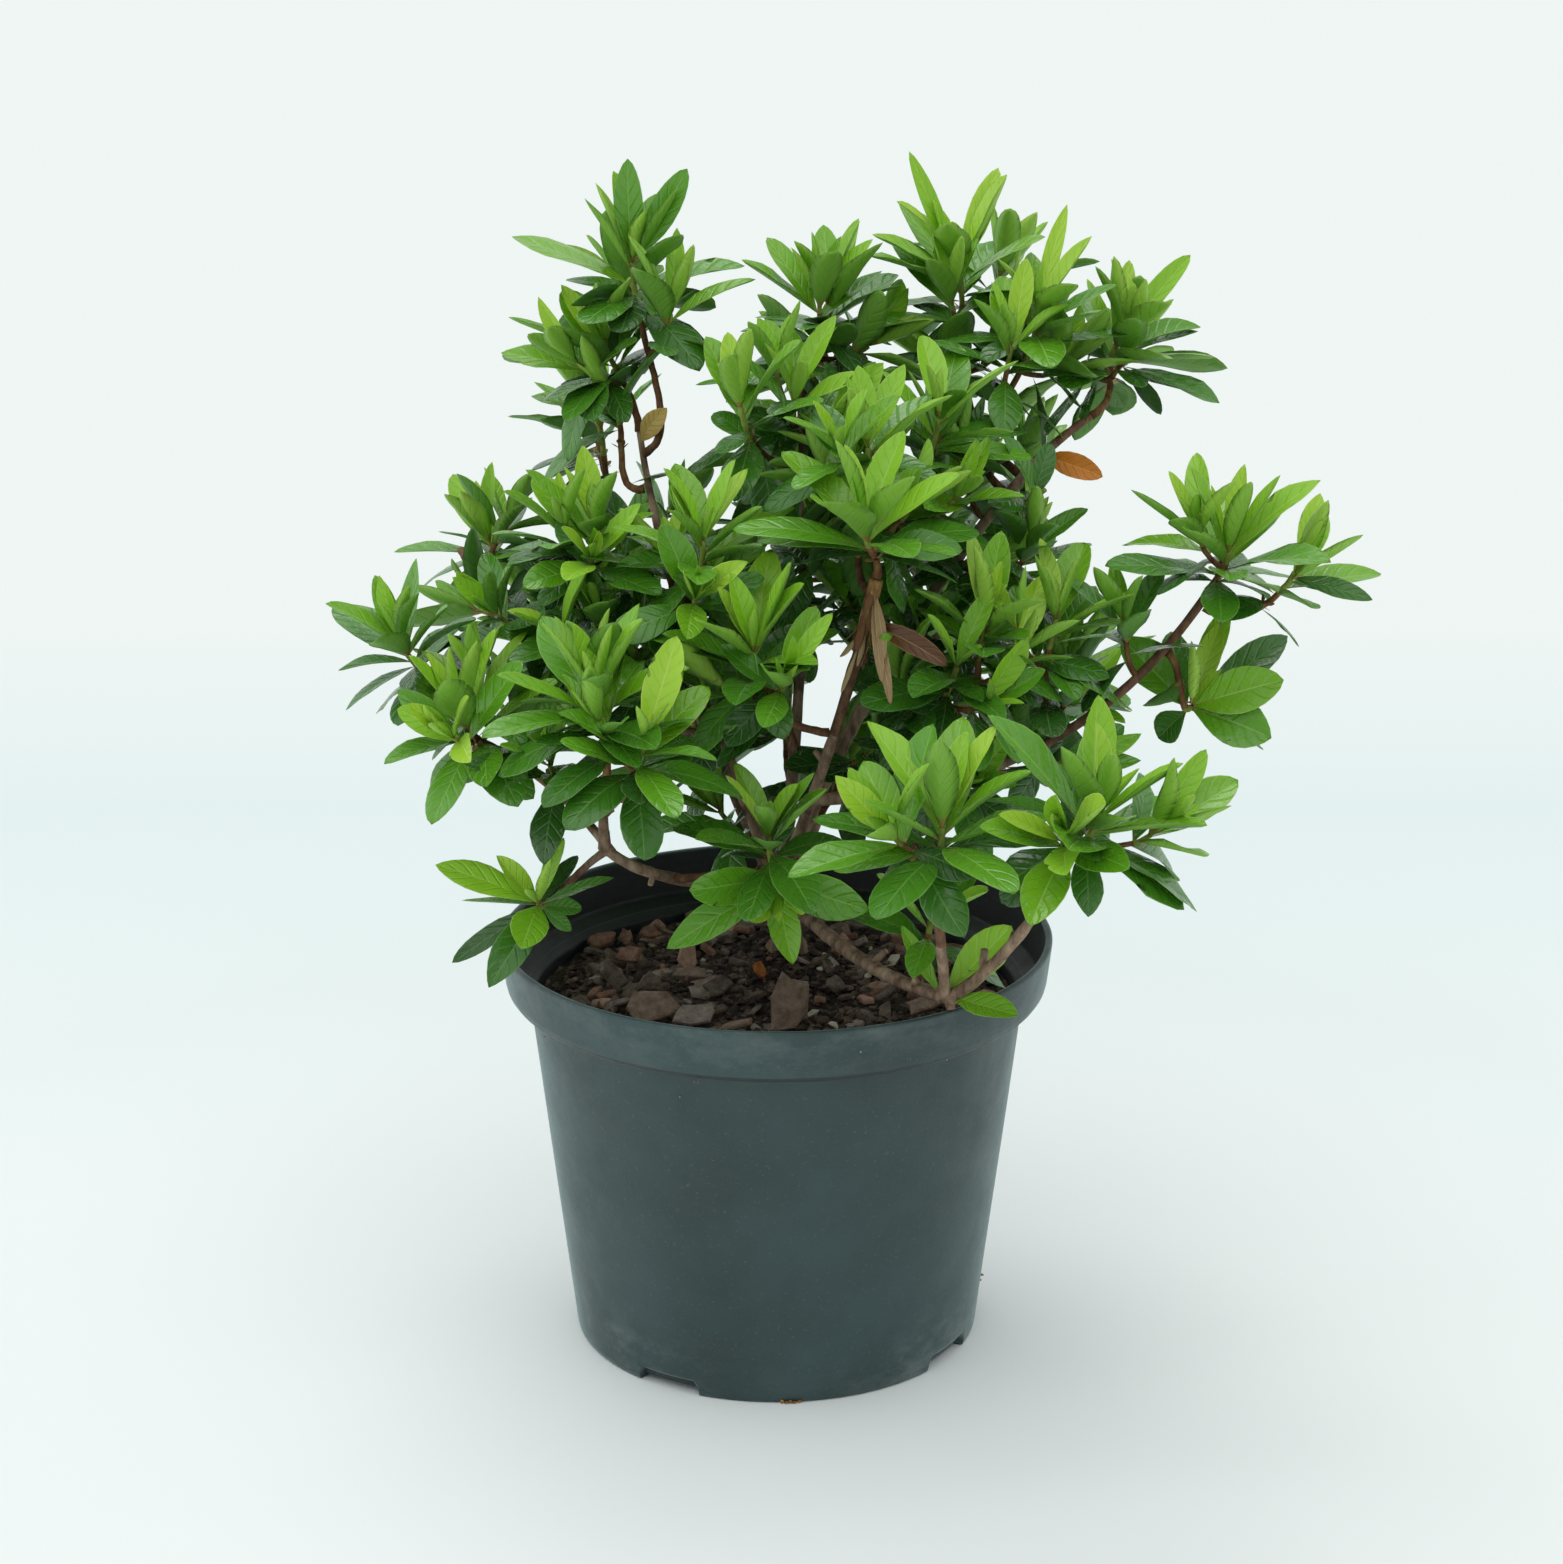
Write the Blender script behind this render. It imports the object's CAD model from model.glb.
# A potted azalea: bark, twigs, leaves, soil and pot
import math
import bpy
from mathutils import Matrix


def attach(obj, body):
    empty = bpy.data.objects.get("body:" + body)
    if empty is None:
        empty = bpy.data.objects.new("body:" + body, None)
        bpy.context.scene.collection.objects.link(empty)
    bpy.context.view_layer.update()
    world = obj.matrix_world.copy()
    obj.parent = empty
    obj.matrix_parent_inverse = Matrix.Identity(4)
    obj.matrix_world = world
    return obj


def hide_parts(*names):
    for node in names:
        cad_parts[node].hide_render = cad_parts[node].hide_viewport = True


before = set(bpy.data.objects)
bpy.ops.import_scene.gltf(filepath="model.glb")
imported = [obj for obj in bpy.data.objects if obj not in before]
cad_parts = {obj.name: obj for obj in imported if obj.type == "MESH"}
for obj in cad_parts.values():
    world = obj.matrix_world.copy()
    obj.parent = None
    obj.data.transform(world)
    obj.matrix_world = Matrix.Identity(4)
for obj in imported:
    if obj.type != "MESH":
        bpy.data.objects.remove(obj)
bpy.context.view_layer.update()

from types import SimpleNamespace as Traits

import bpy
import numpy as np
from mathutils import Matrix, Vector, noise

MM = 0.001
BODY = "root"
GAP = 0.3

# Boughs in millimetres: name, parent and the share of its length they leave at, the point passed half way,
# the tip, and the radius at foot and tip
TRUNK = dict(foot=(3, 34, 100 + GAP), past=(3, 24, 117), tip=(1, 11, 131), radius=(4.2, 3.2))
FLARE_RADIUS = 7.4
FLARE_HEIGHT = 7
FLARE_FULLNESS = 0.8
BOUGHS = [
    ("left_low", "trunk", 0.85, (-29, -23, 144), (-47, -34, 157), (1.9, 1.4)),
    ("left_up", "left_low", 1, (-47, -39, 169), (-46, -44, 179), (1.5, 1.1)),
    ("left_side", "left_low", 0.97, (-52, -35, 152), (-58, -36, 146), (1.2, 0.9)),
    ("left_back", "left_low", 0.93, (-58, -26, 168), (-75, -24, 181), (1.3, 0.9)),
    ("right_low", "trunk", 0.75, (24, -35, 124), (47, -60, 123), (2.1, 1.8)),
    ("right_up", "right_low", 0.98, (44, -69, 142), (42, -80, 163), (1.5, 1.3)),
    ("right_side", "right_low", 1, (61, -70, 140), (73, -80, 163), (1.8, 1.3)),
    ("centre", "trunk", 1, (16, -19, 185), (27, -26, 231), (1.6, 1.4)),
    ("left_tall", "trunk", 0.6, (-25, 30, 197), (-39, 49, 253), (1.9, 0.9)),
    ("mid_tall", "trunk", 0.9, (7, 27, 198), (7, 44, 255), (1.9, 1)),
    ("right_tall", "trunk", 0.95, (32, 16, 195), (71, 30, 247), (2.1, 1.4)),
    ("right_top", "right_tall", 1, (79, 37, 253), (89, 43, 259), (1.4, 1.1)),
    ("right_arm", "centre", 0.28, (73, -18, 181), (119, -4, 221), (1.6, 1.2)),
    ("left_arm", "left_tall", 0.3, (-47, 8, 189), (-88, 39, 218), (1.5, 0.9)),
    ("back_left", "trunk", 0.45, (-22, 55, 165), (-46, 82, 212), (2, 1.2)),
    ("back_right", "trunk", 0.5, (24, 52, 160), (62, 82, 197), (2, 1.2)),
]

# Masses of leaves: name, bough and the share of it they grow from, top of the leading stem, facing of its
# whorl, leaves and blade length there, growth seed, how young the leaves look, and where there are side
# twigs their number, reach and first heading
MASSES = [
    ("low_right_front", "right_up", 1, (43, -94, 184), (0, -0.1, 1), 11, 36, 101, 0.6, 1, 17, 180),
    ("low_right_side", "right_side", 1, (83, -90, 185), (0.3, -0.1, 1), 11, 37, 202, 0.6, 1, 14, 180),
    ("left_front_high", "left_up", 1, (-48, -52, 205), (-0.1, -0.1, 1), 11, 32, 103, 0.6),
    ("left_front_low", "left_up", 0.9, (-35, -63, 197), (0.3, -0.3, 1), 11, 32, 104, 0.5),
    ("crown_front", "centre", 1, (24, -35, 247), (0, -0.1, 1), 12, 36, 305, 0.7),
    ("centre_low", "left_low", 0.2, (-2, -45, 164), (0, -0.3, 1), 11, 30, 306, 0.4),
    ("centre_foot", "left_low", 0.5, (0, -41, 149), (0, -1, -0.25), 6, 27, 41, 0.6),
    ("centre_mid", "centre", 0.5, (-6, -34, 213), (-0.05, -0.3, 1), 11, 31, 157, 0.6, 1, 14, 200),
    ("left_end", "left_side", 1, (-65, -41, 143), (-0.3, -0.45, 0.8), 10, 29, 308, 0.6),
    ("right_end", "right_arm", 1, (124, -6, 233), (0, -0.1, 1), 11, 32, 59, 0.7),
    ("right_end_far", "right_arm", 0.97, (143, -2, 226), (0.5, -0.1, 1), 9, 30, 60, 0.8),
    ("left_far_front", "left_back", 1, (-85, -25, 190), (-0.3, -0.1, 1), 10, 30, 361, 0.8, 1, 14, 0),
    ("left_far_back", "left_back", 0.9, (-104, -5, 207), (-0.4, -0.1, 1), 11, 27, 12, 0.2),
    ("left_mid_front", "left_arm", 0.5, (-20, -13, 238), (0, -0.1, 1), 11, 29, 13, 0.7, 1, 14, 90),
    ("left_mid_back", "left_arm", 0.75, (-50, 9, 235), (-0.1, -0.1, 1), 11, 30, 14, 0.6, 1, 14, 100),
    ("left_heart", "left_arm", 0.6, (-49, -4, 214), (-0.1, -0.3, 1), 10, 28, 15, 0.3, 2, 15, 180),
    ("right_low_end", "right_arm", 0.85, (115, -7, 189), (0.4, -0.2, 1), 10, 31, 66, 0.8),
    ("right_mid_front", "right_arm", 0.4, (57, -18, 216), (0.2, -0.1, 1), 10, 29, 17, 0.7, 1, 14, 0),
    ("right_mid_side", "right_arm", 0.55, (77, -10, 215), (0.2, -0.1, 1), 10, 29, 18, 0.6, 1, 14, 60),
    ("right_heart", "right_arm", 0.25, (49, -26, 206), (0.1, -0.4, 0.7), 10, 30, 19, 0.1, 2, 15, 120),
    ("crown_heart", "centre", 0.95, (25, -5, 262), (0, -0.1, 1), 10, 30, 20, 0.6, 2, 16, 180),
    ("crown_right", "right_tall", 0.6, (45, 16, 265), (0.1, -0.1, 1), 10, 30, 21, 0.6, 1, 14, 60),
    ("right_shoulder", "right_tall", 0.75, (71, 14, 229), (0.1, -0.1, 1), 10, 30, 22, 0.3, 1, 14, 30),
    ("top_right_left", "right_tall", 0.98, (53, 80, 293), (-0.1, -0.1, 1), 11, 35, 173, 0.7, 1, 14, 180),
    ("top_right_mid", "right_tall", 0.93, (74, 52, 287), (0, -0.1, 1), 11, 32, 124, 0.7),
    ("top_right_end", "right_top", 1, (97, 63, 275), (0.3, 0, 1), 10, 33, 375, 0.7, 1, 15, 0),
    ("top_mid", "mid_tall", 1, (15, 68, 286), (0, 0, 1), 10, 32, 177, 0.6, 1, 15, 200),
    ("top_mid_front", "mid_tall", 0.9, (-10, 14, 269), (-0.2, -0.1, 1), 10, 30, 28, 0.6),
    ("top_mid_side", "mid_tall", 0.97, (5, 21, 269), (0.1, -0.1, 1), 9, 28, 29, 0.7, 1, 14, 0),
    ("top_left", "left_tall", 0.94, (-41, 62, 299), (0, 0, 1), 10, 34, 130, 0.6),
    ("top_left_side", "left_tall", 1, (-49, 59, 275), (-0.5, -0.1, 1), 10, 31, 331, 0.6, 1, 16, 0),
    ("top_left_low", "left_tall", 0.85, (-47, 52, 262), (-0.5, -0.1, 0.8), 10, 31, 32, 0.5),
    ("far_left_up", "left_arm", 1, (-84, 75, 213), (-0.3, 0.1, 1), 9, 28, 183, 0.6),
    ("foot_sprout", "right_low", 0.8, (42, -48, 142), (0.05, -0.2, 1), 9, 24, 34, 0.5),
    ("back_left_high", "back_left", 1, (-52, 88, 245), (-0.2, 0.3, 1), 10, 32, 35, 0.5, 1, 20, 90),
    ("back_left_low", "back_left", 0.6, (-72, 88, 190), (-0.5, 0.5, 0.8), 10, 31, 36, 0.4, 1, 18, 120),
    ("back_right_high", "back_right", 1, (72, 92, 232), (0.2, 0.3, 1), 10, 32, 37, 0.5, 1, 20, 60),
    ("back_right_low", "back_right", 0.6, (88, 72, 178), (0.5, 0.4, 0.8), 10, 31, 38, 0.4, 1, 18, 30),
    ("back_mid", "mid_tall", 0.5, (8, 98, 215), (0, 0.6, 1), 10, 32, 39, 0.4, 1, 20, 90),
    ("back_low", "back_right", 0.3, (4, 84, 168), (0, 0.7, 0.8), 10, 31, 40, 0.3, 1, 18, 90),
]

# Stems and side twigs of a mass, as the solids have them. A way is where a twig's tip lies and where its
# whorl faces, each as shares out from its stem, along it and up
GOLDEN_DEG = 137.5
STEM = Traits(radius=(1.1, 0.8), pull=0.4)
TWIG = Traits(radius=(0.8, 0.7), zone=(0.35, 0.8), start=0.35, pull=0.3,
              way=((0.8, 0.55, 0), (0.55, 0.5, 0.25)), turn_spread=10, reach_spread=0.12,
              leaves=0.6, blade=0.92, seed_step=31, seed_start=7)
ROUNDING = 1e-9

# Leaves of a whorl: a pair of values runs from the oldest and lowest leaf to the youngest
WHORL = Traits(depth=10, deepest=0.8, opening=(97, 19), opening_power=0.85, growth=(0.85, 0.75, -0.85),
               width=(0.46, 0.34), curl=(40, 4), turn_spread=14, opening_spread=9, length_spread=0.13,
               width_spread=0.05, curl_spread=14, face_inward=0.75, face_upward=0.25)
TRY = Traits(count=6, swing=24, closing=3, shorter=0.05)

# Room that a leaf keeps, in millimetres, and where on a limb, a stem and a leaf it is measured
CLEAR = Traits(leaves=3.6, own=3, limbs=1.8, stems=1.9, own_stems=1.6, fine=1.5, fine_limbs=0.6)
LIMB_SAMPLE = (3, 3)
STEM_SAMPLE = (2.5, 2)
SHOOT_SAMPLE = (2.5, 3)
STATIONS = ((0.2, 0), (0.42, 0.75), (0.62, 0.92), (0.82, 0.55), (1, 0))
RIM_ROOM = (68, 81, 120.7)
SOIL_ROOM_Z = 102

UP = np.array((0.0, 0.0, 1.0))
RIGHT = np.array((1.0, 0.0, 0.0))
LEAST_SLANT = 0.01
LEAST_CURL = 1e-4
CIRCLE = 2 * math.pi

# Camera geometry: the picture's size and where its axis points
FRAME_SIZE = (1563, 1564)
FOCAL = 4272
DISTANCE = 1200
ELEVATION = math.radians(18.86)
AIM_Z = 164.3
AXIS_X = 776.4
FORWARD = np.array((0, math.cos(ELEVATION), -math.sin(ELEVATION)))
UPWARD = np.array((0, math.sin(ELEVATION), math.cos(ELEVATION)))


class Random:
    """A small generator of repeatable random numbers, the same as the solids use."""

    def __init__(self, seed):
        self.state = (seed * 2654435761 + 97) % 2**32
        self.next()
        self.next()

    def next(self):
        self.state = (self.state * 1664525 + 1013904223) % 2**32
        return self.state / 2**32

    def spread(self, reach):
        return (2 * self.next() - 1) * reach

    def between(self, low, high):
        return low + (high - low) * self.next()


def lerp(a, b, t):
    return a + (b - a) * t


def vector(values):
    return np.array(values, float)


def length_of(v):
    return math.sqrt(float(v @ v))


def unit(v):
    return v / length_of(v)


def across(axis):
    """A level direction square to the axis."""
    side = np.cross(UP, axis)
    if side @ side < LEAST_SLANT:
        side = RIGHT - axis * axis[0]
    return unit(side)


def round_axis(axis, degrees):
    """A unit vector at an angle round the axis."""
    side = across(axis)
    angle = math.radians(degrees)
    return math.cos(angle) * side + math.sin(angle) * np.cross(axis, side)


class Bend:
    """A smooth curve from foot to tip."""

    def __init__(self, foot, first, second, tip):
        self.points = (foot, first, second, tip)
        self.span = length_of(tip - foot)

    @classmethod
    def through(cls, foot, past, tip):
        pull = (4 * past - foot - tip) / 3
        return cls(foot, foot / 3 + pull, tip / 3 + pull, tip)

    def point(self, share):
        a, b, c, d = self.points
        rest = 1 - share
        return rest**3 * a + 3 * rest * rest * share * b + 3 * rest * share * share * c + share**3 * d

    def heading(self, share):
        a, b, c, d = self.points
        rest = 1 - share
        return unit(rest * rest * (b - a) + 2 * rest * share * (c - b) + share * share * (d - c))

    def shares(self, step, fewest):
        """Even shares of its length, about a step apart."""
        count = max(fewest, int(self.span / step))
        return [i / count for i in range(count + 1)]


# Limbs and stems
def grow_limbs():
    limbs = {"trunk": (Bend.through(*(vector(TRUNK[k]) for k in ("foot", "past", "tip"))), TRUNK["radius"])}
    for name, parent, share, past, tip, radius in BOUGHS:
        foot = limbs[parent][0].point(share)
        limbs[name] = (Bend.through(foot, vector(past), vector(tip)), radius)
    return limbs


class Mass:
    """A mass of leaves: its row of values, and later its shoots, the room they take and its leaves."""

    def __init__(self, name, bough, share, top, facing, leaves, blade, seed, young, twigs=0, reach=0, turn=0):
        self.name, self.bough, self.share, self.top = name, bough, share, vector(top)
        self.facing, self.leaves, self.blade, self.seed = unit(vector(facing)), leaves, blade, seed
        self.young, self.twigs, self.reach, self.turn = young, twigs, reach, turn


def leading_stem(mass, limbs):
    bend, radius = limbs[mass.bough]
    out = bend.heading(mass.share)
    room = GAP
    if mass.share < 1:
        to_top = mass.top - bend.point(mass.share)
        out = unit(to_top - out * (to_top @ out))
        room += lerp(*radius, mass.share)
    foot = bend.point(mass.share) + out * room
    pull = STEM.pull * length_of(mass.top - foot)
    return Bend(foot, foot + out * pull, mass.top - mass.facing * pull, mass.top)


def twig_off(foot, along, out, reach, way):
    """A short twig that leaves its stem outward, and the facing of its whorl."""
    to_tip, to_face = way
    tip = foot + out * reach * to_tip[0] + along * reach * to_tip[1] + UP * reach * to_tip[2]
    facing = unit(out * to_face[0] + along * to_face[1] + UP * to_face[2])
    return Bend(foot, foot + out * reach * TWIG.start, tip - facing * reach * TWIG.pull, tip), facing


def shoots_of(mass, limbs):
    """The leading stem and side twigs of a mass, with the whorl that each bears."""
    random = Random(mass.seed * TWIG.seed_step + TWIG.seed_start)
    stem = leading_stem(mass, limbs)
    whorl = dict(leaves=mass.leaves, blade=mass.blade, young=mass.young)
    shoots = [dict(whorl, bend=stem, facing=mass.facing, radius=STEM.radius)]
    whorl.update(leaves=math.floor(mass.leaves * TWIG.leaves + ROUNDING), blade=mass.blade * TWIG.blade)
    for index in range(mass.twigs):
        share = lerp(*TWIG.zone, (index + 0.5) / mass.twigs)
        along = stem.heading(share)
        out = round_axis(along, mass.turn + index * GOLDEN_DEG + random.spread(TWIG.turn_spread))
        reach = mass.reach * (1 + random.spread(TWIG.reach_spread))
        bend, facing = twig_off(stem.point(share), along, out, reach, TWIG.way)
        shoots.append(dict(whorl, bend=bend, facing=facing, radius=TWIG.radius))
    return shoots


# Leaves
def blade_point(leaf, share):
    if abs(leaf["curl"]) < LEAST_CURL:
        return leaf["root"] + leaf["head"] * leaf["length"] * share
    bend_radius = leaf["length"] / leaf["curl"]
    angle = leaf["curl"] * share
    along = leaf["head"] * bend_radius * math.sin(angle)
    return leaf["root"] + along - leaf["face"] * bend_radius * (1 - math.cos(angle))


def blade_samples(leaf):
    side = np.cross(leaf["head"], leaf["face"])
    points = []
    for share, wide in STATIONS:
        middle = blade_point(leaf, share)
        half = side * leaf["width"] * wide / 2
        points += [middle, middle + half, middle - half] if wide else [middle]
    return np.array(points)


def leaf_on(root, axis, turn, opening, length, broad, curl):
    """A leaf that stands off an axis at an opening angle, with its face turned up and inward."""
    out = round_axis(axis, turn)
    angle = math.radians(opening)
    head = math.cos(angle) * axis + math.sin(angle) * out
    inward = math.sin(angle) * axis - math.cos(angle) * out
    face = unit(inward * WHORL.face_inward + (UP - head * head[2]) * WHORL.face_upward)
    return dict(root=root, head=head, face=face, length=length, width=length * broad, curl=math.radians(curl))


def leaf_of(bud, attempt):
    """The leaf that a bud grows on its nth try, from the bud's own random numbers."""
    age = bud["age"]
    swing = TRY.swing * ((attempt + 1) // 2) * (1 if attempt % 2 else -1)
    opening = lerp(*WHORL.opening, age**WHORL.opening_power) + bud["opening"] - TRY.closing * attempt
    grown = WHORL.growth[0] + WHORL.growth[1] * age + WHORL.growth[2] * age * age
    length = bud["blade"] * grown * (1 + bud["grown"]) * (1 - TRY.shorter * attempt)
    broad, curl = lerp(*WHORL.width, age) + bud["broad"], lerp(*WHORL.curl, age) + bud["droop"]
    turn = bud["turn"] + swing
    return dict(leaf_on(bud["root"], bud["facing"], turn, opening, length, broad, curl), age=age)


def buds_of(shoot, random):
    """The buds of one whorl, oldest and lowest first, at the golden angle."""
    bend = shoot["bend"]
    back = min(WHORL.deepest, WHORL.depth / bend.span)
    first = random.next() * 360
    for index in range(shoot["leaves"]):
        age = index / max(1, shoot["leaves"] - 1)
        yield dict(
            age=age,
            facing=shoot["facing"],
            blade=shoot["blade"],
            root=bend.point(1 - back * (1 - age)),
            turn=first + index * GOLDEN_DEG + random.spread(WHORL.turn_spread),
            opening=random.spread(WHORL.opening_spread),
            grown=random.spread(WHORL.length_spread),
            broad=random.spread(WHORL.width_spread),
            droop=random.spread(WHORL.curl_spread),
        )


def first_fit(bud, fits):
    """The leaf that a bud grows on its first try that fits, or none after the last try."""
    for attempt in range(TRY.count):
        leaf = leaf_of(bud, attempt)
        leaf["samples"] = blade_samples(leaf)
        if fits(leaf["samples"]):
            return leaf
    return None


class Room:
    """Points with the distance to keep from each."""

    def __init__(self):
        self.points, self.rooms = np.zeros((0, 3)), np.zeros(0)

    def add(self, points, rooms):
        self.points = np.concatenate([self.points, points])
        self.rooms = np.concatenate([self.rooms, np.broadcast_to(np.array(rooms, float), len(points))])

    def add_along(self, bend, radii, sample, extra):
        shares = bend.shares(*sample)
        self.add([bend.point(t) for t in shares], [lerp(*radii, t) + extra for t in shares])

    def add_limbs(self, limbs, extra):
        for bend, radius in limbs.values():
            self.add_along(bend, radius, LIMB_SAMPLE, extra)

    def touched(self, samples):
        if not len(self.points):
            return False
        low, high = samples.min(0) - self.rooms.max(), samples.max(0) + self.rooms.max()
        close = ((self.points > low) & (self.points < high)).all(1)
        near = ((samples[:, None] - self.points[close][None]) ** 2).sum(2) < self.rooms[close] ** 2
        return bool(near.any())


def stem_room(shoots, extra):
    room = Room()
    for shoot in shoots:
        room.add_along(shoot["bend"], (shoot["radius"][0],) * 2, STEM_SAMPLE, extra)
    return room


def in_pot(samples):
    inner, outer, top = RIM_ROOM
    out = np.hypot(samples[:, 0], samples[:, 1])
    in_rim = (samples[:, 2] < top) & (out > inner) & (out < outer)
    return bool(in_rim.any() or (samples[:, 2] < SOIL_ROOM_Z).any())


def grow_leaves(mass, other_rooms):
    """The leaves of a mass, each on its first try that touches nothing."""
    random = Random(mass.seed)
    own = stem_room(mass.shoots, CLEAR.own_stems)
    leaves = []

    def fits(samples):
        outside = in_pot(samples) or any(room.touched(samples) for room in other_rooms)
        return not (outside or own.touched(samples[1:]))

    for shoot in mass.shoots:
        for bud in buds_of(shoot, random):
            leaf = first_fit(bud, fits)
            if leaf:
                leaves.append(leaf)
                own.add(leaf["samples"][1:], CLEAR.own)
    return leaves


def grow_crown(limbs):
    masses = [Mass(*row) for row in MASSES]
    limb_room, leaf_room = Room(), Room()
    limb_room.add_limbs(limbs, CLEAR.limbs)
    for mass in masses:
        mass.shoots = shoots_of(mass, limbs)
    for mass in masses:
        others = [shoot for other in masses if other is not mass for shoot in other.shoots]
        mass.blades = grow_leaves(mass, (limb_room, stem_room(others, CLEAR.stems), leaf_room))
        for leaf in mass.blades:
            leaf_room.add(leaf["samples"], CLEAR.leaves)
    return masses


# The finer growth: each shoot gets small young leaves at its tip and older ones down its stem, and short
# twigs with small whorls fill the crown along the stems and boughs, all within the reach of the masses
FINE_SEED = Traits(step=17, tips=5, stems=6, whorls=7, boughs=900)
TIPS = Traits(leaves=3, opening=(36, 12), opening_spread=9, length=(0.88, 0.48), length_spread=0.1,
              turn_spread=60, broad=(0.28, 0.4), curl_spread=16, age=(1, 1.2))
STEM_LEAVES = Traits(first=7, step=5, last=0.92, reach=15, lift=0.25, tries=5, swing=31, opening=(72, 112),
                     closing=9, length=(0.6, 0.82), shorter=0.07, curl=(0, 46), broad=(0.4, 0.5),
                     age=(-0.25, 0.15))

# How far down its stem a mass bears leaves, where that isn't the usual reach
LEAFY = {
    "left_heart": 60, "right_heart": 60, "crown_heart": 30, "centre_mid": 26, "left_mid_front": 40,
    "left_mid_back": 30, "right_mid_front": 30, "right_mid_side": 30, "crown_right": 50,
    "right_shoulder": 50, "top_mid_front": 50, "top_mid_side": 50, "top_left_low": 30,
    "top_left_side": 24, "top_mid": 28, "top_right_mid": 30, "top_right_left": 30,
    "low_right_front": 0, "low_right_side": 12, "crown_front": 9, "left_front_high": 12,
    "left_end": 0, "right_end": 12, "centre_foot": 0, "centre_low": 9, "foot_sprout": 8,
    "back_mid": 60, "back_low": 50, "back_left_high": 40, "back_left_low": 40, "back_right_high": 40,
    "back_right_low": 40,
}

# Finer side shoots on the leading stems: usual number, and where a mass has more or none
SIDE_SHOOTS = 1
SIDE_SHOOTS_OF = {
    "top_right_left": 3, "top_right_mid": 3, "top_mid": 3, "top_right_end": 2, "top_mid_side": 2,
    "crown_heart": 2, "crown_right": 2, "top_left": 2, "top_left_side": 2, "right_end": 2,
    "right_shoulder": 0, "right_low_end": 0, "crown_front": 0, "low_right_front": 0, "centre_foot": 0,
    "left_end": 0, "foot_sprout": 0, "centre_low": 0,
}
SIDE = Traits(zone=(0.5, 0.93), reach=16, way=((0.8, 0.5, 0), (0.5, 0.5, 0.35)), turn=90, turn_spread=60,
              leaves=8, blade=0.84, older=0.1)

# Second whorls inside the first ones: their share of the leaves, usual and by mass
FULLER = Traits(leaves=0.55, blade=0.9, youngest=0.62)
FULLER_LEAVES_OF = {
    "left_end": 0, "centre_foot": 0, "centre_low": 0.3, "foot_sprout": 0, "right_low_end": 0,
    "right_shoulder": 0.2,
}

# Boughs that bear short leafy twigs: name, the first and last share, twigs, and their reach in millimetres
LEAFY_BOUGHS = [
    ("left_arm", 0.25, 0.9, 10, 17),
    ("left_tall", 0.2, 0.62, 7, 16),
    ("mid_tall", 0.15, 0.98, 15, 18),
    ("right_tall", 0.2, 0.93, 15, 19),
    ("right_arm", 0.18, 0.8, 9, 16),
    ("left_back", 0.4, 0.9, 2, 15),
    ("back_left", 0.15, 0.97, 10, 20),
    ("back_right", 0.15, 0.97, 10, 20),
]
BOUGH_TWIG_WAY = ((0.75, 0.35, 0.25), (0.7, 0.3, 0.55))
BOUGH_TWIG_WHORL = dict(leaves=8, blade=25, young=0)
TWIG_SUNK = 0.6
TWIG_SPREAD = 0.2

# Masses whose whorl is given leaf by leaf instead
BARE = ("left_end", "right_low_end")

# Leaves of a whorl, by mass and number, that the picture shows to be missing
MISSING = {"crown_front": (1,), "right_shoulder": (8, 14), "centre_foot": (0,), "right_end_far": (1,),
           "top_left": (5,), "low_right_front": (12,), "low_right_side": (0, 12), "foot_sprout": (0,)}

# Bark that peels in strips off the top of the middle stem
PEELING = Traits(bough="centre", zone=(0.78, 1), strips=18, length=(6, 15), width=(1.6, 3), opening=(5, 20),
                 curl_spread=30, sunk=0.8, pale=0.55, swell=0.45, seed=8)

# Dry bud scales at the foot of each whorl
SCALES = Traits(count=5, length=(2.6, 4.4), opening=(20, 55), below=1.15, lowest=0.3, spread=0.04,
                broad=0.42, curl=20, pale=0.5)

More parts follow.
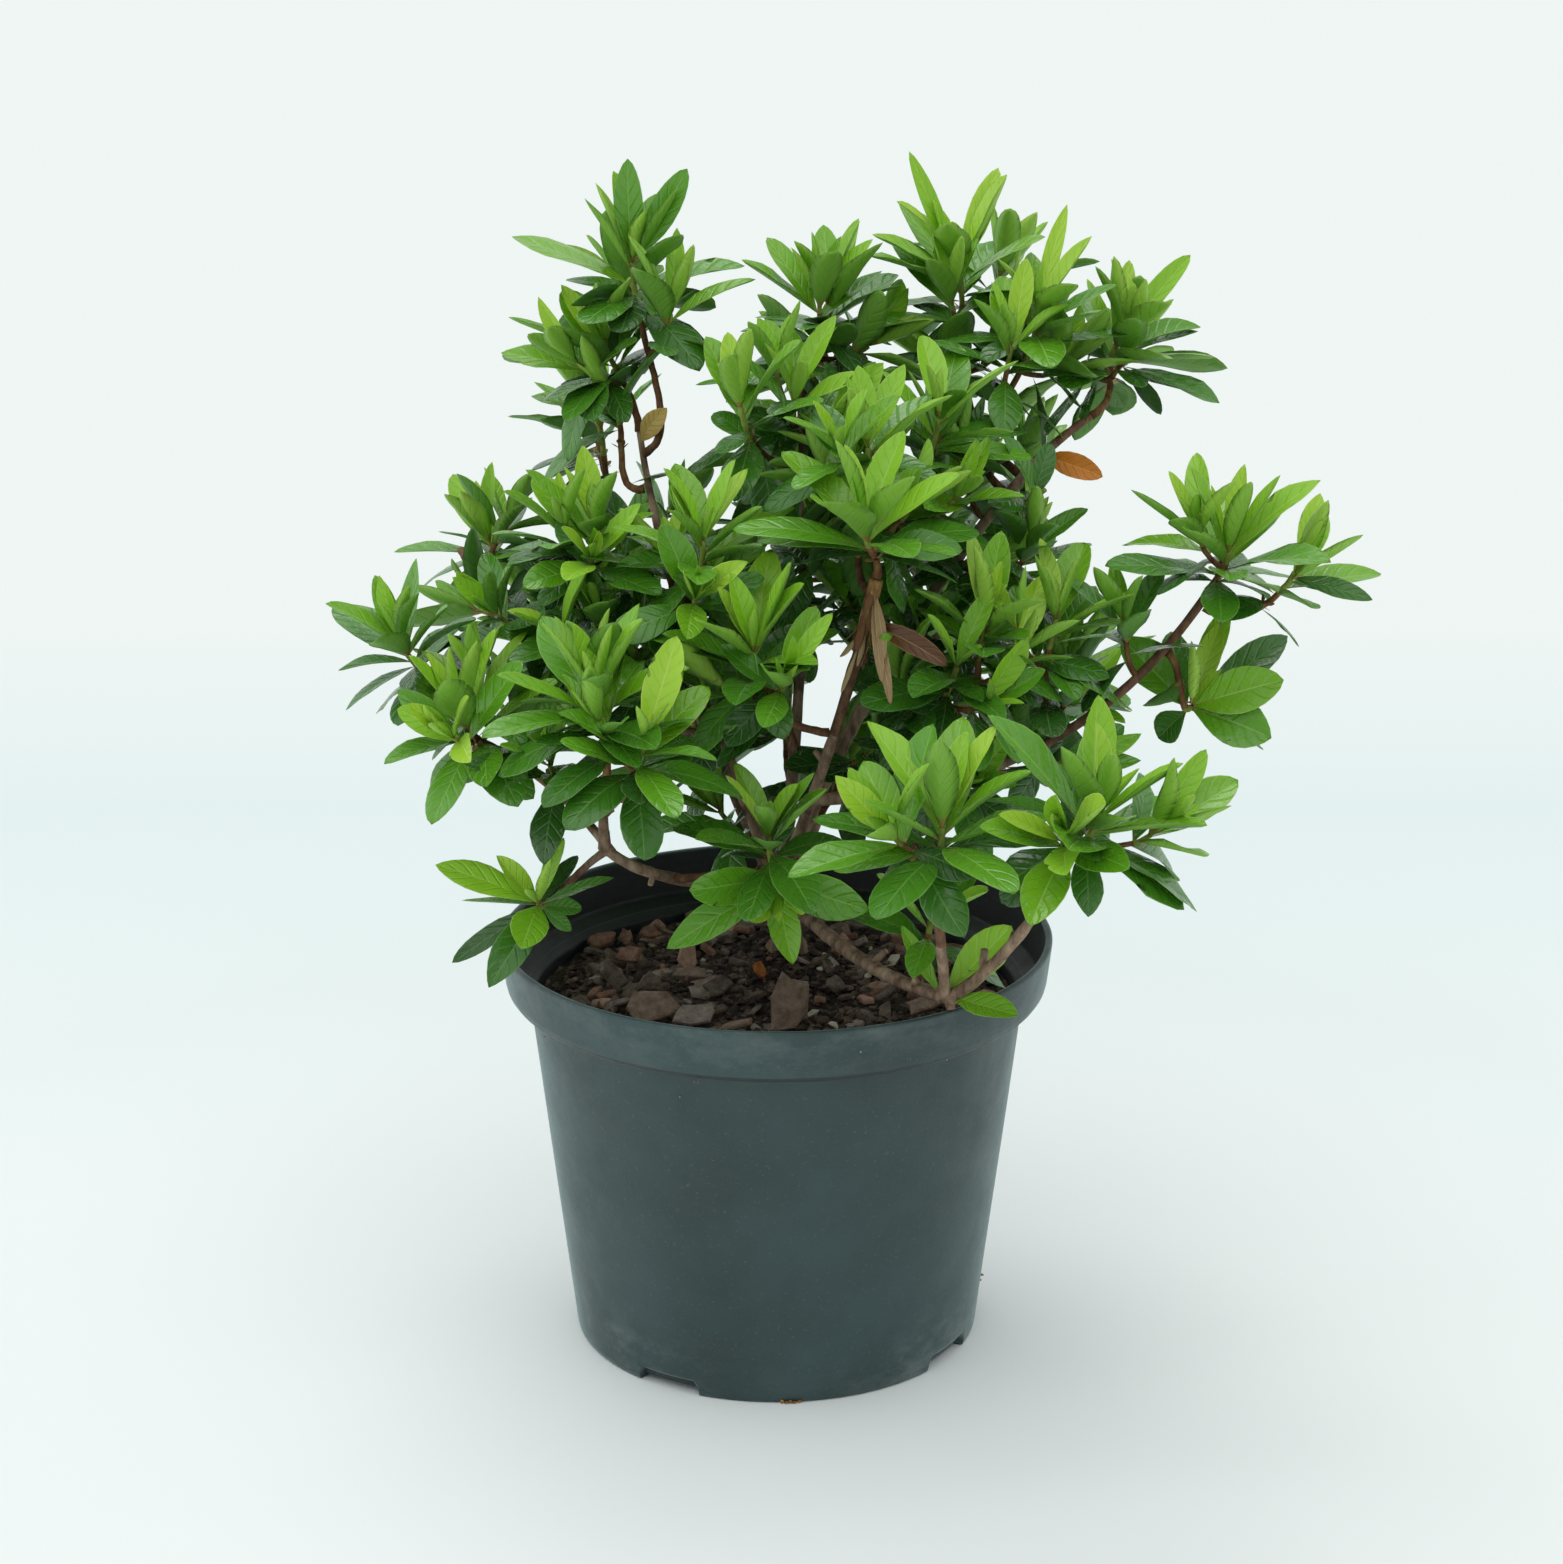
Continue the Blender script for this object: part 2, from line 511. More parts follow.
# Single leaves that the picture shows apart: what they hang on and the share of it, the tip by pixel and
# depth, width in millimetres, curl in degrees, how far the face turns from up to the front, and tone
LONE_LEAVES = [
    ("left_end", 1, (437, 861, -34), 10.5, 22, 0.55, "fresh"),
    ("left_end", 1, (562, 837, -30), 5.5, 8, 0.2, "fresh"),
    ("left_end", 0.95, (575, 854, -22), 5.5, 10, 0.5, "dark"),
    ("left_end", 0.95, (615, 876, -38), 6, 14, 0.3, "full"),
    ("left_end", 0.98, (520, 949, -48), 12.5, 32, 0.9, "bright"),
    ("left_end", 0.92, (453, 964, -34), 7, 16, 0.5, "dark"),
    ("left_end", 0.9, (491, 989, -42), 10.5, 28, 0.8, "deep"),
    ("left_end", 0.85, (582, 906, -26), 5.5, 20, 0.7, "full"),
    ("left_end", 0.85, (572, 931, -28), 5, 20, 0.7, "full"),
    ("left_end", 0.95, (462, 900, -24), 6, 8, 0, "green"),
    ("right_low", 0.97, (1010, 924, -42), 12, 18, 0.8, "fresh"),
    ("right_low", 0.99, (1018, 1017, -58), 9, 22, 0.6, "bright"),
    ("right_low", 0.95, (900, 925, -40), 5, 10, 0.6, "bright"),
    ("top_right_left", 0.96, (907, 152, 28), 6, 10, 0.4, "fresh"),
    ("top_right_left", 1, (996, 167, 34), 8, 8, 0.6, "lime"),
    ("top_right_mid", 0.95, (1060, 203, 12), 5.5, 8, 0.4, "lime"),
    ("top_right_end", 1, (1192, 256, 22), 7.5, 10, 0.4, "fresh"),
    ("right_top", 0.25, (1104, 474, -6), 8, 16, 0.9, "orange"),
    ("top_left", 1, (622, 159, 2), 10, 8, 0.85, "green"),
    ("top_left", 1, (692, 172, 5), 9.5, 10, 0.8, "green"),
    ("centre_foot", 1, (664, 944, -36), 11, 12, 0.8, "green"),
    ("right_end_far", 0.95, (1373, 600, -24), 7, 14, 0.6, "deep"),
    ("right_end_far", 0.9, (1356, 590, -14), 6, 10, 0.5, "full"),
    ("left_tall", 0.97, (664, 404, 0), 7, 24, 0.8, "straw"),
    ("centre", 0.92, (897, 705, -49), 3.4, 10, 0.9, "papery"),
    ("centre", 0.95, (880, 684, -49), 3.2, 22, 0.8, "papery"),
    ("centre", 0.97, (888, 660, -49), 3, 14, 0.7, "papery"),
    ("centre", 0.86, (950, 662, -48), 7, 44, 0.8, "brown"),
    ("right_low_end", 1, (1284, 680, -26), 14.5, 16, 0.75, "bright"),
    ("right_low_end", 0.97, (1273, 735, -24), 15, 20, 0.75, "green"),
    ("right_low_end", 0.95, (1122, 640, -10), 15, 14, 0.7, "green"),
    ("right_low_end", 1, (1222, 606, -6), 8.5, 8, 0.6, "fresh"),
    ("right_low_end", 0.9, (1292, 640, 4), 11, 18, 0.6, "deep"),
    ("right_low_end", 0.92, (1264, 752, -6), 12, 30, 0.2, "full"),
    ("right_low_end", 0.88, (1158, 738, -8), 11, 24, 0.6, "deep"),
    ("right_low_end", 0.85, (1166, 632, 8), 11, 14, 0.6, "full"),
]

# Patches of open sky between the leaves, by pixel: left, top, right and bottom
SKY = [(636, 404, 706, 458), (596, 436, 622, 470), (796, 690, 830, 742), (820, 646, 846, 690),
       (756, 744, 786, 784), (1056, 446, 1122, 506), (1264, 628, 1286, 662)]


def before_sky(samples):
    """Whether a place on a leaf lies in line with a patch of open sky."""
    out = np.asarray(samples) - AIM_Z * UP
    away = DISTANCE + out @ FORWARD
    x = AXIS_X + FOCAL * (out @ RIGHT) / away
    y = FRAME_SIZE[1] / 2 - FOCAL * (out @ UPWARD) / away
    boxes = [(x > left) & (x < right) & (y > top) & (y < bottom) for left, top, right, bottom in SKY]
    return np.any(boxes)


class Crown:
    """The leaves and shoots of the whole crown, and what its finer growth keeps clear of."""

    def __init__(self, limbs, masses):
        self.fixed, self.placed = Room(), Room()
        self.leaves, self.shoots = [], []
        self.owner = None
        self.fixed.add_limbs(limbs, CLEAR.fine_limbs)
        for mass in masses:
            for shoot in mass.shoots:
                self.add_shoot(shoot)
            missing = range(len(mass.blades)) if mass.name in BARE else MISSING.get(mass.name, ())
            for number, leaf in enumerate(mass.blades):
                if number not in missing and not before_sky(leaf["samples"]):
                    leaf.update(young=mass.young, owner=mass.name)
                    self.leaves.append(leaf)
                    self.placed.add(leaf["samples"], CLEAR.fine)

    def add_shoot(self, shoot):
        self.shoots.append(shoot)
        self.fixed.add_along(shoot["bend"], shoot["radius"], STEM_SAMPLE, CLEAR.fine_limbs)

    def fits(self, samples):
        touching = self.fixed.touched(samples[1:]) or self.placed.touched(samples[1:])
        return not (touching or in_pot(samples) or before_sky(samples))

    def add_leaf(self, leaf, **traits):
        leaf.update(traits, samples=blade_samples(leaf), owner=self.owner)
        self.leaves.append(leaf)
        self.placed.add(leaf["samples"][1:], CLEAR.fine)

    def owners(self, masses, seed):
        """Each mass in turn, as the owner of what grows, with random numbers of its own."""
        for mass in masses:
            self.owner = mass.name
            yield mass, Random(mass.seed * FINE_SEED.step + seed)


def add_tip_leaves(crown, shoot, random):
    """Upright young leaves round a shoot's tip, each shorter than the last."""
    for index in range(TIPS.leaves):
        share = index / (TIPS.leaves - 1)
        length = shoot["blade"] * lerp(*TIPS.length, share) * (1 + random.spread(TIPS.length_spread))
        turn = index * GOLDEN_DEG + random.next() * TIPS.turn_spread
        opening = lerp(*TIPS.opening, share) + random.spread(TIPS.opening_spread)
        broad, curl = random.between(*TIPS.broad), random.spread(TIPS.curl_spread)
        leaf = leaf_on(shoot["bend"].point(1), shoot["facing"], turn, opening, length, broad, curl)
        if not before_sky(blade_samples(leaf)):
            crown.add_leaf(leaf, age=lerp(*TIPS.age, share), young=shoot["young"])


def add_stem_leaves(crown, shoot, reach, random):
    """Older leaves down the stem below the whorl, at the golden angle."""
    bend = shoot["bend"]
    turn = random.next() * 360
    down = STEM_LEAVES.first
    while down < min(reach, bend.span * STEM_LEAVES.last):
        share = 1 - down / bend.span
        axis = unit(bend.heading(share) + UP * STEM_LEAVES.lift)
        for attempt in range(STEM_LEAVES.tries):
            opening = random.between(*STEM_LEAVES.opening) - STEM_LEAVES.closing * attempt
            length = shoot["blade"] * random.between(*STEM_LEAVES.length)
            length *= 1 - STEM_LEAVES.shorter * attempt
            curl, broad = random.between(*STEM_LEAVES.curl), random.between(*STEM_LEAVES.broad)
            leaf = leaf_on(bend.point(share), axis, turn, opening, length, broad, curl)
            if crown.fits(blade_samples(leaf)):
                crown.add_leaf(leaf, age=random.between(*STEM_LEAVES.age), young=shoot["young"])
                break
            turn += STEM_LEAVES.swing
        turn += GOLDEN_DEG
        down += STEM_LEAVES.step


def dry_tone(random, pale):
    return "papery" if random.next() < pale else "brown"


def add_scales(crown, shoot, random):
    """Dry bud scales round the foot of a whorl."""
    bend = shoot["bend"]
    foot = max(SCALES.lowest, 1 - WHORL.depth * SCALES.below / bend.span)
    turn = random.next() * 360
    for _ in range(SCALES.count):
        share = foot + random.spread(SCALES.spread)
        opening, length = random.between(*SCALES.opening), random.between(*SCALES.length)
        root, axis = bend.point(share), bend.heading(share)
        leaf = leaf_on(root, axis, turn, opening, length, SCALES.broad, SCALES.curl)
        crown.add_leaf(leaf, age=0, young=0, tone=dry_tone(random, SCALES.pale))
        turn += GOLDEN_DEG


def add_strips(crown, bend, radius):
    """Narrow papery strips that hang close to the stem."""
    random = Random(PEELING.seed)
    crown.owner = first_mass_on(PEELING.bough)
    for index in range(PEELING.strips):
        share = lerp(*PEELING.zone, (index + 0.5) / PEELING.strips)
        down = -bend.heading(share)
        turn = index * GOLDEN_DEG
        length = random.between(*PEELING.length)
        root = bend.point(share) + round_axis(down, turn) * radius[1] * PEELING.sunk
        opening, curl = random.between(*PEELING.opening), random.spread(PEELING.curl_spread)
        strip = leaf_on(root, down, turn, opening, length, 1, curl)
        strip["width"] = random.between(*PEELING.width)
        crown.add_leaf(strip, age=0, young=0, tone=dry_tone(random, PEELING.pale))


def add_whorl(crown, shoot, random):
    """Grows the leaves of a finer whorl that find room, and counts them."""
    grown = 0
    for bud in buds_of(shoot, random):
        if bud["age"] > shoot.get("youngest", 1):
            break
        leaf = first_fit(bud, crown.fits)
        if leaf:
            crown.add_leaf(leaf, young=shoot["young"])
            grown += 1
    return grown


def add_twigs(crown, limb, zone, count, reach, turn, way, whorl, random):
    """Short twigs along a stem or bough, each where it and more than one leaf of its whorl find room."""
    bend, radius = limb
    for index in range(count):
        share = lerp(*zone, (index + 0.5) / count)
        along = bend.heading(share)
        out = round_axis(along, turn)
        turn += GOLDEN_DEG
        root = bend.point(share) + out * (lerp(*radius, share) * TWIG_SUNK)
        twig, facing = twig_off(root, along, out, reach * (1 + random.spread(TWIG_SPREAD)), way)
        shoot = dict(whorl, bend=twig, facing=facing, radius=TWIG.radius)
        samples = np.array([twig.point(t) for t in twig.shares(*SHOOT_SAMPLE)[1:]])
        if crown.fits(samples) and add_whorl(crown, shoot, random) > 1:
            crown.add_shoot(shoot)
            add_tip_leaves(crown, shoot, random)


def add_side_shoots(crown, mass, random):
    """Short shoots off a leading stem, each with a small whorl."""
    count = SIDE_SHOOTS_OF.get(mass.name, SIDE_SHOOTS)
    turn = mass.turn + SIDE.turn + random.next() * SIDE.turn_spread
    whorl = dict(leaves=SIDE.leaves, blade=mass.blade * SIDE.blade, young=mass.young - SIDE.older)
    stem = (mass.shoots[0]["bend"], (0, 0))
    add_twigs(crown, stem, SIDE.zone, count, SIDE.reach, turn, SIDE.way, whorl, random)


def first_mass_on(bough):
    return next(row[0] for row in MASSES if row[1] == bough)


def seen_at(x, y, deep):
    """The place that the picture shows at a pixel, at a depth from its middle plane."""
    rise = (FRAME_SIZE[1] / 2 - y) / FOCAL * (DISTANCE + deep)
    aside = (x - AXIS_X) / FOCAL * (DISTANCE + deep)
    return deep * FORWARD + rise * UPWARD + aside * RIGHT + AIM_Z * UP


def lone_leaf(root, tip, width, curl_deg, toward):
    """A leaf from its foot to the tip that the picture shows."""
    chord = seen_at(*tip) - root
    line, curl = unit(chord), math.radians(curl_deg)
    face = UP * (1 - toward) - FORWARD * toward
    face = unit(face - line * (line @ face))
    length = length_of(chord) * (curl / 2) / math.sin(curl / 2)
    head = math.cos(curl / 2) * line + math.sin(curl / 2) * face
    face = math.cos(curl / 2) * face - math.sin(curl / 2) * line
    return dict(root=root, head=head, face=face, length=length, width=width, curl=curl)


def grow_fine(limbs, masses):
    crown = Crown(limbs, masses)
    bends = {name: bend for name, (bend, _) in limbs.items()}
    bends.update((mass.name, mass.shoots[0]["bend"]) for mass in masses)
    for name, share, tip, width, curl, toward, tone in LONE_LEAVES:
        crown.owner = first_mass_on(name) if name in limbs else name
        leaf = lone_leaf(bends[name].point(share), tip, width, curl, toward)
        crown.add_leaf(leaf, age=0.5, young=0.5, tone=tone)
    add_strips(crown, *limbs[PEELING.bough])
    for mass, random in crown.owners(masses, FINE_SEED.tips):
        for shoot in mass.shoots:
            add_tip_leaves(crown, shoot, random)
            add_scales(crown, shoot, random)
    for mass, random in crown.owners(masses, FINE_SEED.whorls):
        share = FULLER_LEAVES_OF.get(mass.name, FULLER.leaves)
        for shoot in mass.shoots:
            leaves, blade = int(shoot["leaves"] * share), shoot["blade"] * FULLER.blade
            add_whorl(crown, dict(shoot, leaves=leaves, blade=blade, youngest=FULLER.youngest), random)
        add_side_shoots(crown, mass, random)
    for mass, random in crown.owners(masses, FINE_SEED.stems):
        add_stem_leaves(crown, mass.shoots[0], LEAFY.get(mass.name, STEM_LEAVES.reach), random)
        for shoot in mass.shoots[1:]:
            add_stem_leaves(crown, shoot, STEM_LEAVES.reach, random)
    for index, (name, first, last, count, reach) in enumerate(LEAFY_BOUGHS):
        crown.owner = first_mass_on(name)
        random = Random(FINE_SEED.boughs + index)
        turn = random.next() * 360
        zone = (first, last)
        add_twigs(crown, limbs[name], zone, count, reach, turn, BOUGH_TWIG_WAY, BOUGH_TWIG_WHORL, random)
    return crown


limbs = grow_limbs()
masses = grow_crown(limbs)
crown = grow_fine(limbs, masses)


# Materials
class Nodes:
    """Shader nodes under construction, with helpers that add and join them."""

    def __init__(self, owner):
        owner.use_nodes = True
        self.tree = owner.node_tree

    def add(self, kind, inputs=None, **settings):
        node = self.tree.nodes.new("ShaderNode" + kind)
        for key, value in settings.items():
            setattr(node, key, value)
        for key, value in (inputs or {}).items():
            if isinstance(value, bpy.types.NodeSocket):
                self.tree.links.new(value, node.inputs[key])
            else:
                node.inputs[key].default_value = value
        return node

    def maths(self, operation, *values):
        return self.add("Math", dict(enumerate(values)), operation=operation).outputs["Value"]

    def parts(self, vector):
        return self.add("SeparateXYZ", {"Vector": vector}).outputs

    def carried(self, value, source, target):
        """A number carried from one range to another."""
        ends = {"From Min": source[0], "From Max": source[1], "To Min": target[0], "To Max": target[1]}
        return self.add("MapRange", {"Value": value, **ends}).outputs["Result"]


def colour(text):
    """A six-digit screen colour as the four linear numbers that a shader takes."""
    parts = [int(text[i:i + 2], 16) / 255 for i in (0, 2, 4)]
    return [p / 12.92 if p <= 0.04045 else ((p + 0.055) / 1.055) ** 2.4 for p in parts] + [1]


NOISE_MIDDLE = (0.3, 0.7)


class Finish(Nodes):
    """A material under construction: its shader, and helpers for its patterns."""

    def __init__(self, name, base=None, **sockets):
        self.material = bpy.data.materials.new(name)
        super().__init__(self.material)
        self.shader = self.tree.nodes["Principled BSDF"]
        if base:
            self.shader.inputs["Base Color"].default_value = colour(base)
        for socket, value in sockets.items():
            self.shader.inputs[socket.replace("_", " ")].default_value = value

    def place(self):
        return self.add("TexCoord").outputs["Object"]

    def stretched(self, *scale):
        return self.add("Mapping", {"Vector": self.place(), "Scale": scale}).outputs["Vector"]

    def noise(self, scale, detail=3, roughness=0.6, vector=None):
        values = {"Scale": scale, "Detail": detail, "Roughness": roughness, "Vector": vector or self.place()}
        return self.add("TexNoise", values).outputs["Fac"]

    def ramp(self, factor, stops):
        node = self.add("ValToRGB", {"Fac": factor})
        elements = node.color_ramp.elements
        while len(elements) < len(stops):
            elements.new(0.5)
        for element, (position, value) in zip(elements, stops):
            element.position = position
            element.color = colour(value) if isinstance(value, str) else (value, value, value, 1)
        return node.outputs["Color"]

    def between(self, value, low, high):
        """A number that follows a noise, whose values lie mostly in its middle."""
        return self.carried(value, NOISE_MIDDLE, (low, high))

    def mixed(self, factor, first, second):
        """Two colours, or a colour and what is linked, mixed by a factor."""
        pair = [colour(c) if isinstance(c, str) else c for c in (first, second)]
        return self.add("Mix", {"Factor": factor, 6: pair[0], 7: pair[1]}, data_type="RGBA").outputs[2]

    def drive(self, socket, value):
        self.tree.links.new(value, self.shader.inputs[socket])

    def bump(self, height, strength, distance):
        node = self.add("Bump", {"Height": height, "Strength": strength, "Distance": distance * MM})
        self.drive("Normal", node.outputs["Normal"])


# Leaf tones from the youngest to the oldest, then dry ones: upper face, lower face, and rib and margin
TONES = {
    "lime": ("acd83a", "a0cc48", "c6e268"),
    "fresh": ("92ca28", "8ec040", "aed456"),
    "bright": ("78b320", "7eb23a", "98c64e"),
    "green": ("5f9f1b", "6ca032", "80b644"),
    "full": ("4a881d", "5c922e", "6ca23e"),
    "deep": ("3b731b", "4e822d", "5c903a"),
    "dark": ("305d1d", "44722e", "52823c"),
    "orange": ("cf7c1c", "b96c20", "dd9a40"),
    "straw": ("c2a04a", "b0924a", "cdb468"),
    "brown": ("633c1c", "774b26", "a27a4c"),
    "papery": ("a98a5e", "b99d72", "d0ba92"),
}
GLOSSY = ("bright", "green", "full", "deep", "dark")
GLOSSY_ROUGHNESS = 0.25
STALK_COLOUR = "a08c46"

# The parts of a leaf with a colour in each tone: name, roughness and depth of the veins
LEAF_PARTS = (("upper", 0.38, 0.5), ("lower", 0.55, 0.45), ("rib", 0.48, 0.1))
UPPER, LOWER, RIB, STALK = range(4)
STALK_FINISH = len(LEAF_PARTS) * len(TONES)
VEINS = Traits(count=7, slant=1.5, steepness=6)
LEAF_GRAIN = (900, 0.7)
LEAF_QUILT = (260, 1.6)

# How a leaf's youth is reckoned from its age and from how young its mass looks
YOUTH = Traits(age=0.72, young=0.42, less=0.06, spread=0.12)
DARKEST = 6


def leaf_finish(name, base, roughness, vein_depth):
    """Satin leaf with sunken side veins between quilted swellings, and fine grain."""
    made = Finish(name, base, Sheen_Weight=0.02, Sheen_Roughness=0.4, Specular_IOR_Level=0.62)
    flat = made.parts(made.add("TexCoord").outputs["UV"])
    aside = made.maths("ABSOLUTE", made.maths("SUBTRACT", flat["X"], 0.5))
    run = made.maths("MULTIPLY", flat["Y"], VEINS.count)
    phase = made.maths("SUBTRACT", run, made.maths("MULTIPLY", aside, 2 * VEINS.slant))
    wave = made.maths("ABSOLUTE", made.maths("SUBTRACT", made.maths("FRACT", phase), 0.5))
    valley = made.maths("MINIMUM", made.maths("MULTIPLY", wave, VEINS.steepness), 1)
    layers = (LEAF_GRAIN, LEAF_QUILT)
    grain, quilt = (made.maths("MULTIPLY", made.noise(scale, 2), depth) for scale, depth in layers)
    made.bump(made.maths("ADD", valley, made.maths("ADD", grain, quilt)), vein_depth, 0.3)
    made.drive("Roughness", made.between(made.noise(160, 3), roughness - 0.05, roughness + 0.08))
    return made.material


def leaf_finishes():
    made = []
    for tone, colours in TONES.items():
        for base, (part, roughness, veins) in zip(colours, LEAF_PARTS):
            if part == "upper" and tone in GLOSSY:
                roughness = GLOSSY_ROUGHNESS
            made.append(leaf_finish(f"leaf_{tone}_{part}", base, roughness, veins))
    return made + [leaf_finish("leaf_petiole", STALK_COLOUR, 0.5, 0.1)]


# Meshes
def put(name, data):
    """A new object of the scene."""
    made = bpy.data.objects.new(name, data)
    bpy.context.scene.collection.objects.link(made)
    return made


class Shape:
    """Points in millimetres, faces and a finish number for each face, gathered for one piece."""

    def __init__(self):
        self.points, self.faces, self.kinds = [], [], []

    def add(self, points, faces, kinds):
        """Adds a form whose faces count its own points, with a number for each face or one for all."""
        start = len(self.points)
        self.points.extend(points)
        self.faces.extend(tuple(start + i for i in face) for face in faces)
        self.kinds.extend([kinds] * len(faces) if isinstance(kinds, int) else kinds)

    def piece(self, name, finishes, smooth=True, uv=None):
        mesh = bpy.data.meshes.new(name)
        mesh.from_pydata((np.asarray(self.points) * MM).tolist(), [], self.faces)
        for finish in finishes:
            mesh.materials.append(finish)
        mesh.polygons.foreach_set("material_index", np.asarray(self.kinds, np.int32))
        mesh.polygons.foreach_set("use_smooth", [smooth] * len(mesh.polygons))
        if uv is not None:
            corners = np.zeros(len(mesh.loops), np.int32)
            mesh.loops.foreach_get("vertex_index", corners)
            layer = mesh.uv_layers.new(name="UVMap")
            layer.data.foreach_set("uv", np.asarray(uv)[corners].ravel())
        mesh.update()
        piece = put(name, mesh)
        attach(piece, BODY)
        return piece


def ring_faces(rings, sides):
    """Four-sided faces between rings of points that follow one another."""
    starts = [(k * sides + j, k * sides + (j + 1) % sides) for k in range(rings - 1) for j in range(sides)]
    return [(a, b, b + sides, a + sides) for a, b in starts]


def end_faces(rings, sides):
    """The faces that close the first and the last ring."""
    last = (rings - 1) * sides
    return [tuple(range(sides))[::-1], tuple(range(last, last + sides))]


# Leaf blades: rows of points from base to tip, with columns across the upper face and fewer below
ROWS = np.array((0, 0.06, 0.15, 0.27, 0.4, 0.53, 0.66, 0.78, 0.88, 0.95, 1))
COLUMNS = np.array((-1, -0.95, -0.5, -0.035, 0.035, 0.5, 0.95, 1))
BELOW = np.array((-0.5, 0, 0.5))
RIB_COLUMN = 3
STALK_ROWS = 2

# How blades differ: pairs are from old to young, or the range that a value is drawn from
BLADE = Traits(thick=0.34, least=0.35, age=(-0.2, 1.15), fold=(0.14, 0.4), cup=(0.2, -0.08), fold_spread=0.1,
               wave=(0.02, 0.09), waves=(1.3, 2.4), wave_lag=1.7, twist=16, sway=0.07,
               peak=(1.22, 1.45), peak_young=0.12, tip_blunt=(0.52, 0.8), blunt_young=0.06,
               base_blunt=(0.86, 1.05), blunt_run=1.7, narrow=(0.06, 0.3), rib_depth=0.05, rib_reach=0.1)
NEARLY_TURN = 6.28


def blade_faces():
    """Faces of one blade, and the part of it that each belongs to."""
    wide, under = len(COLUMNS), len(BELOW)
    step = wide + under
    inner = len(ROWS) - 2
    upper = list(range(wide))
    lower = [0] + [wide + i for i in range(under)] + [wide - 1]
    parts = [RIB if i in (0, RIB_COLUMN, wide - 2) else UPPER for i in upper[:-1]]
    sides = [(a, b, part) for a, b, part in zip(upper, upper[1:], parts)]
    backs = [(b, a, LOWER) for a, b in zip(lower, lower[1:])]
    faces, part_of = [], []
    for row in range(inner - 1):
        near, far = 1 + row * step, 1 + (row + 1) * step
        for a, b, part in sides + backs:
            faces.append((near + a, near + b, far + b, far + a))
            stalk = row < STALK_ROWS and a == RIB_COLUMN or row == 0 and part == LOWER
            part_of.append(STALK if stalk else part)
    last, tip = 1 + (inner - 1) * step, 1 + inner * step
    faces += [(0, 1 + b, 1 + a) for a, b, _ in sides + backs]
    faces += [(tip, last + a, last + b) for a, b, _ in sides + backs]
    return faces, part_of + [STALK] * len(sides + backs) + [part for _, _, part in sides + backs]


def blade_mesh(leaf, random):
    """The points and flat coordinates of one blade, with its own fold, cup, wave, twist and sideways bend."""
    age = min(BLADE.age[1], max(BLADE.age[0], leaf["age"]))
    youth = max(0, age)
    fold = lerp(*BLADE.fold, youth) + random.spread(BLADE.fold_spread)
    cup = lerp(*BLADE.cup, youth) + random.spread(BLADE.fold_spread)
    wave, waves = random.between(*BLADE.wave), random.between(*BLADE.waves)
    wave_start = random.next() * NEARLY_TURN
    twist = math.radians(random.spread(BLADE.twist))
    sway = random.spread(BLADE.sway)
    peak = random.between(*BLADE.peak) - BLADE.peak_young * youth
    tip_blunt = random.between(*BLADE.tip_blunt) + BLADE.blunt_young * youth
    base_blunt = random.between(*BLADE.base_blunt)
    head, face, length = leaf["head"], leaf["face"], leaf["length"]
    half = leaf["width"] / 2 * (1 - random.between(*BLADE.narrow) * youth)
    side = np.cross(head, face)
    columns = np.concatenate([COLUMNS, BELOW])
    out = np.abs(columns)
    points, flat = [], []
    for row in ROWS:
        middle = blade_point(leaf, row) + side * (sway * length * row * row)
        if row in (0, 1):
            points.append(middle)
            flat.append((0.5, row))
            continue
        angle, turn = leaf["curl"] * row, twist * row
        normal = math.cos(angle) * face + math.sin(angle) * head
        right = math.cos(turn) * side + math.sin(turn) * normal
        above = math.cos(turn) * normal - math.sin(turn) * side
        blunt = lerp(base_blunt, tip_blunt, min(1, row * BLADE.blunt_run))
        wide = max(half * max(math.sin(math.pi * row**peak), 0) ** blunt, BLADE.least)
        lift = fold * out - cup * out * out
        phase = waves * NEARLY_TURN * row + wave_start + (columns > 0) * BLADE.wave_lag
        lift += wave * out**3 * np.sin(phase)
        lift -= BLADE.rib_depth * (out < BLADE.rib_reach)
        lift *= wide
        lift[len(COLUMNS):] -= BLADE.thick * min(1, wide / 2)
        points.extend(middle + np.outer(columns * wide, right) + np.outer(lift, above))
        flat.extend((0.5 + column / 2, row) for column in columns)
    return points, flat


def tone_of(leaf, random):
    """The tone number of a leaf, by its age and by how young its mass looks where none is given."""
    if "tone" in leaf:
        return list(TONES).index(leaf["tone"])
    youth = YOUTH.age * leaf["age"] + YOUTH.young * leaf["young"] - YOUTH.less
    youth += random.spread(YOUTH.spread)
    return int(min(DARKEST, max(0, round((1 - youth) * DARKEST))))


def leaf_piece(name, leaves, finishes, random):
    faces, parts = blade_faces()
    shape, flat = Shape(), []
    for leaf in leaves:
        points, more_flat = blade_mesh(leaf, random)
        flat.extend(more_flat)
        first = len(LEAF_PARTS) * tone_of(leaf, random)
        shape.add(points, faces, [STALK_FINISH if part == STALK else first + part for part in parts])
    used = sorted(set(shape.kinds))
    order = {kind: i for i, kind in enumerate(used)}
    shape.kinds = [order[kind] for kind in shape.kinds]
    piece = shape.piece(name, [finishes[kind] for kind in used], uv=flat)
    return piece


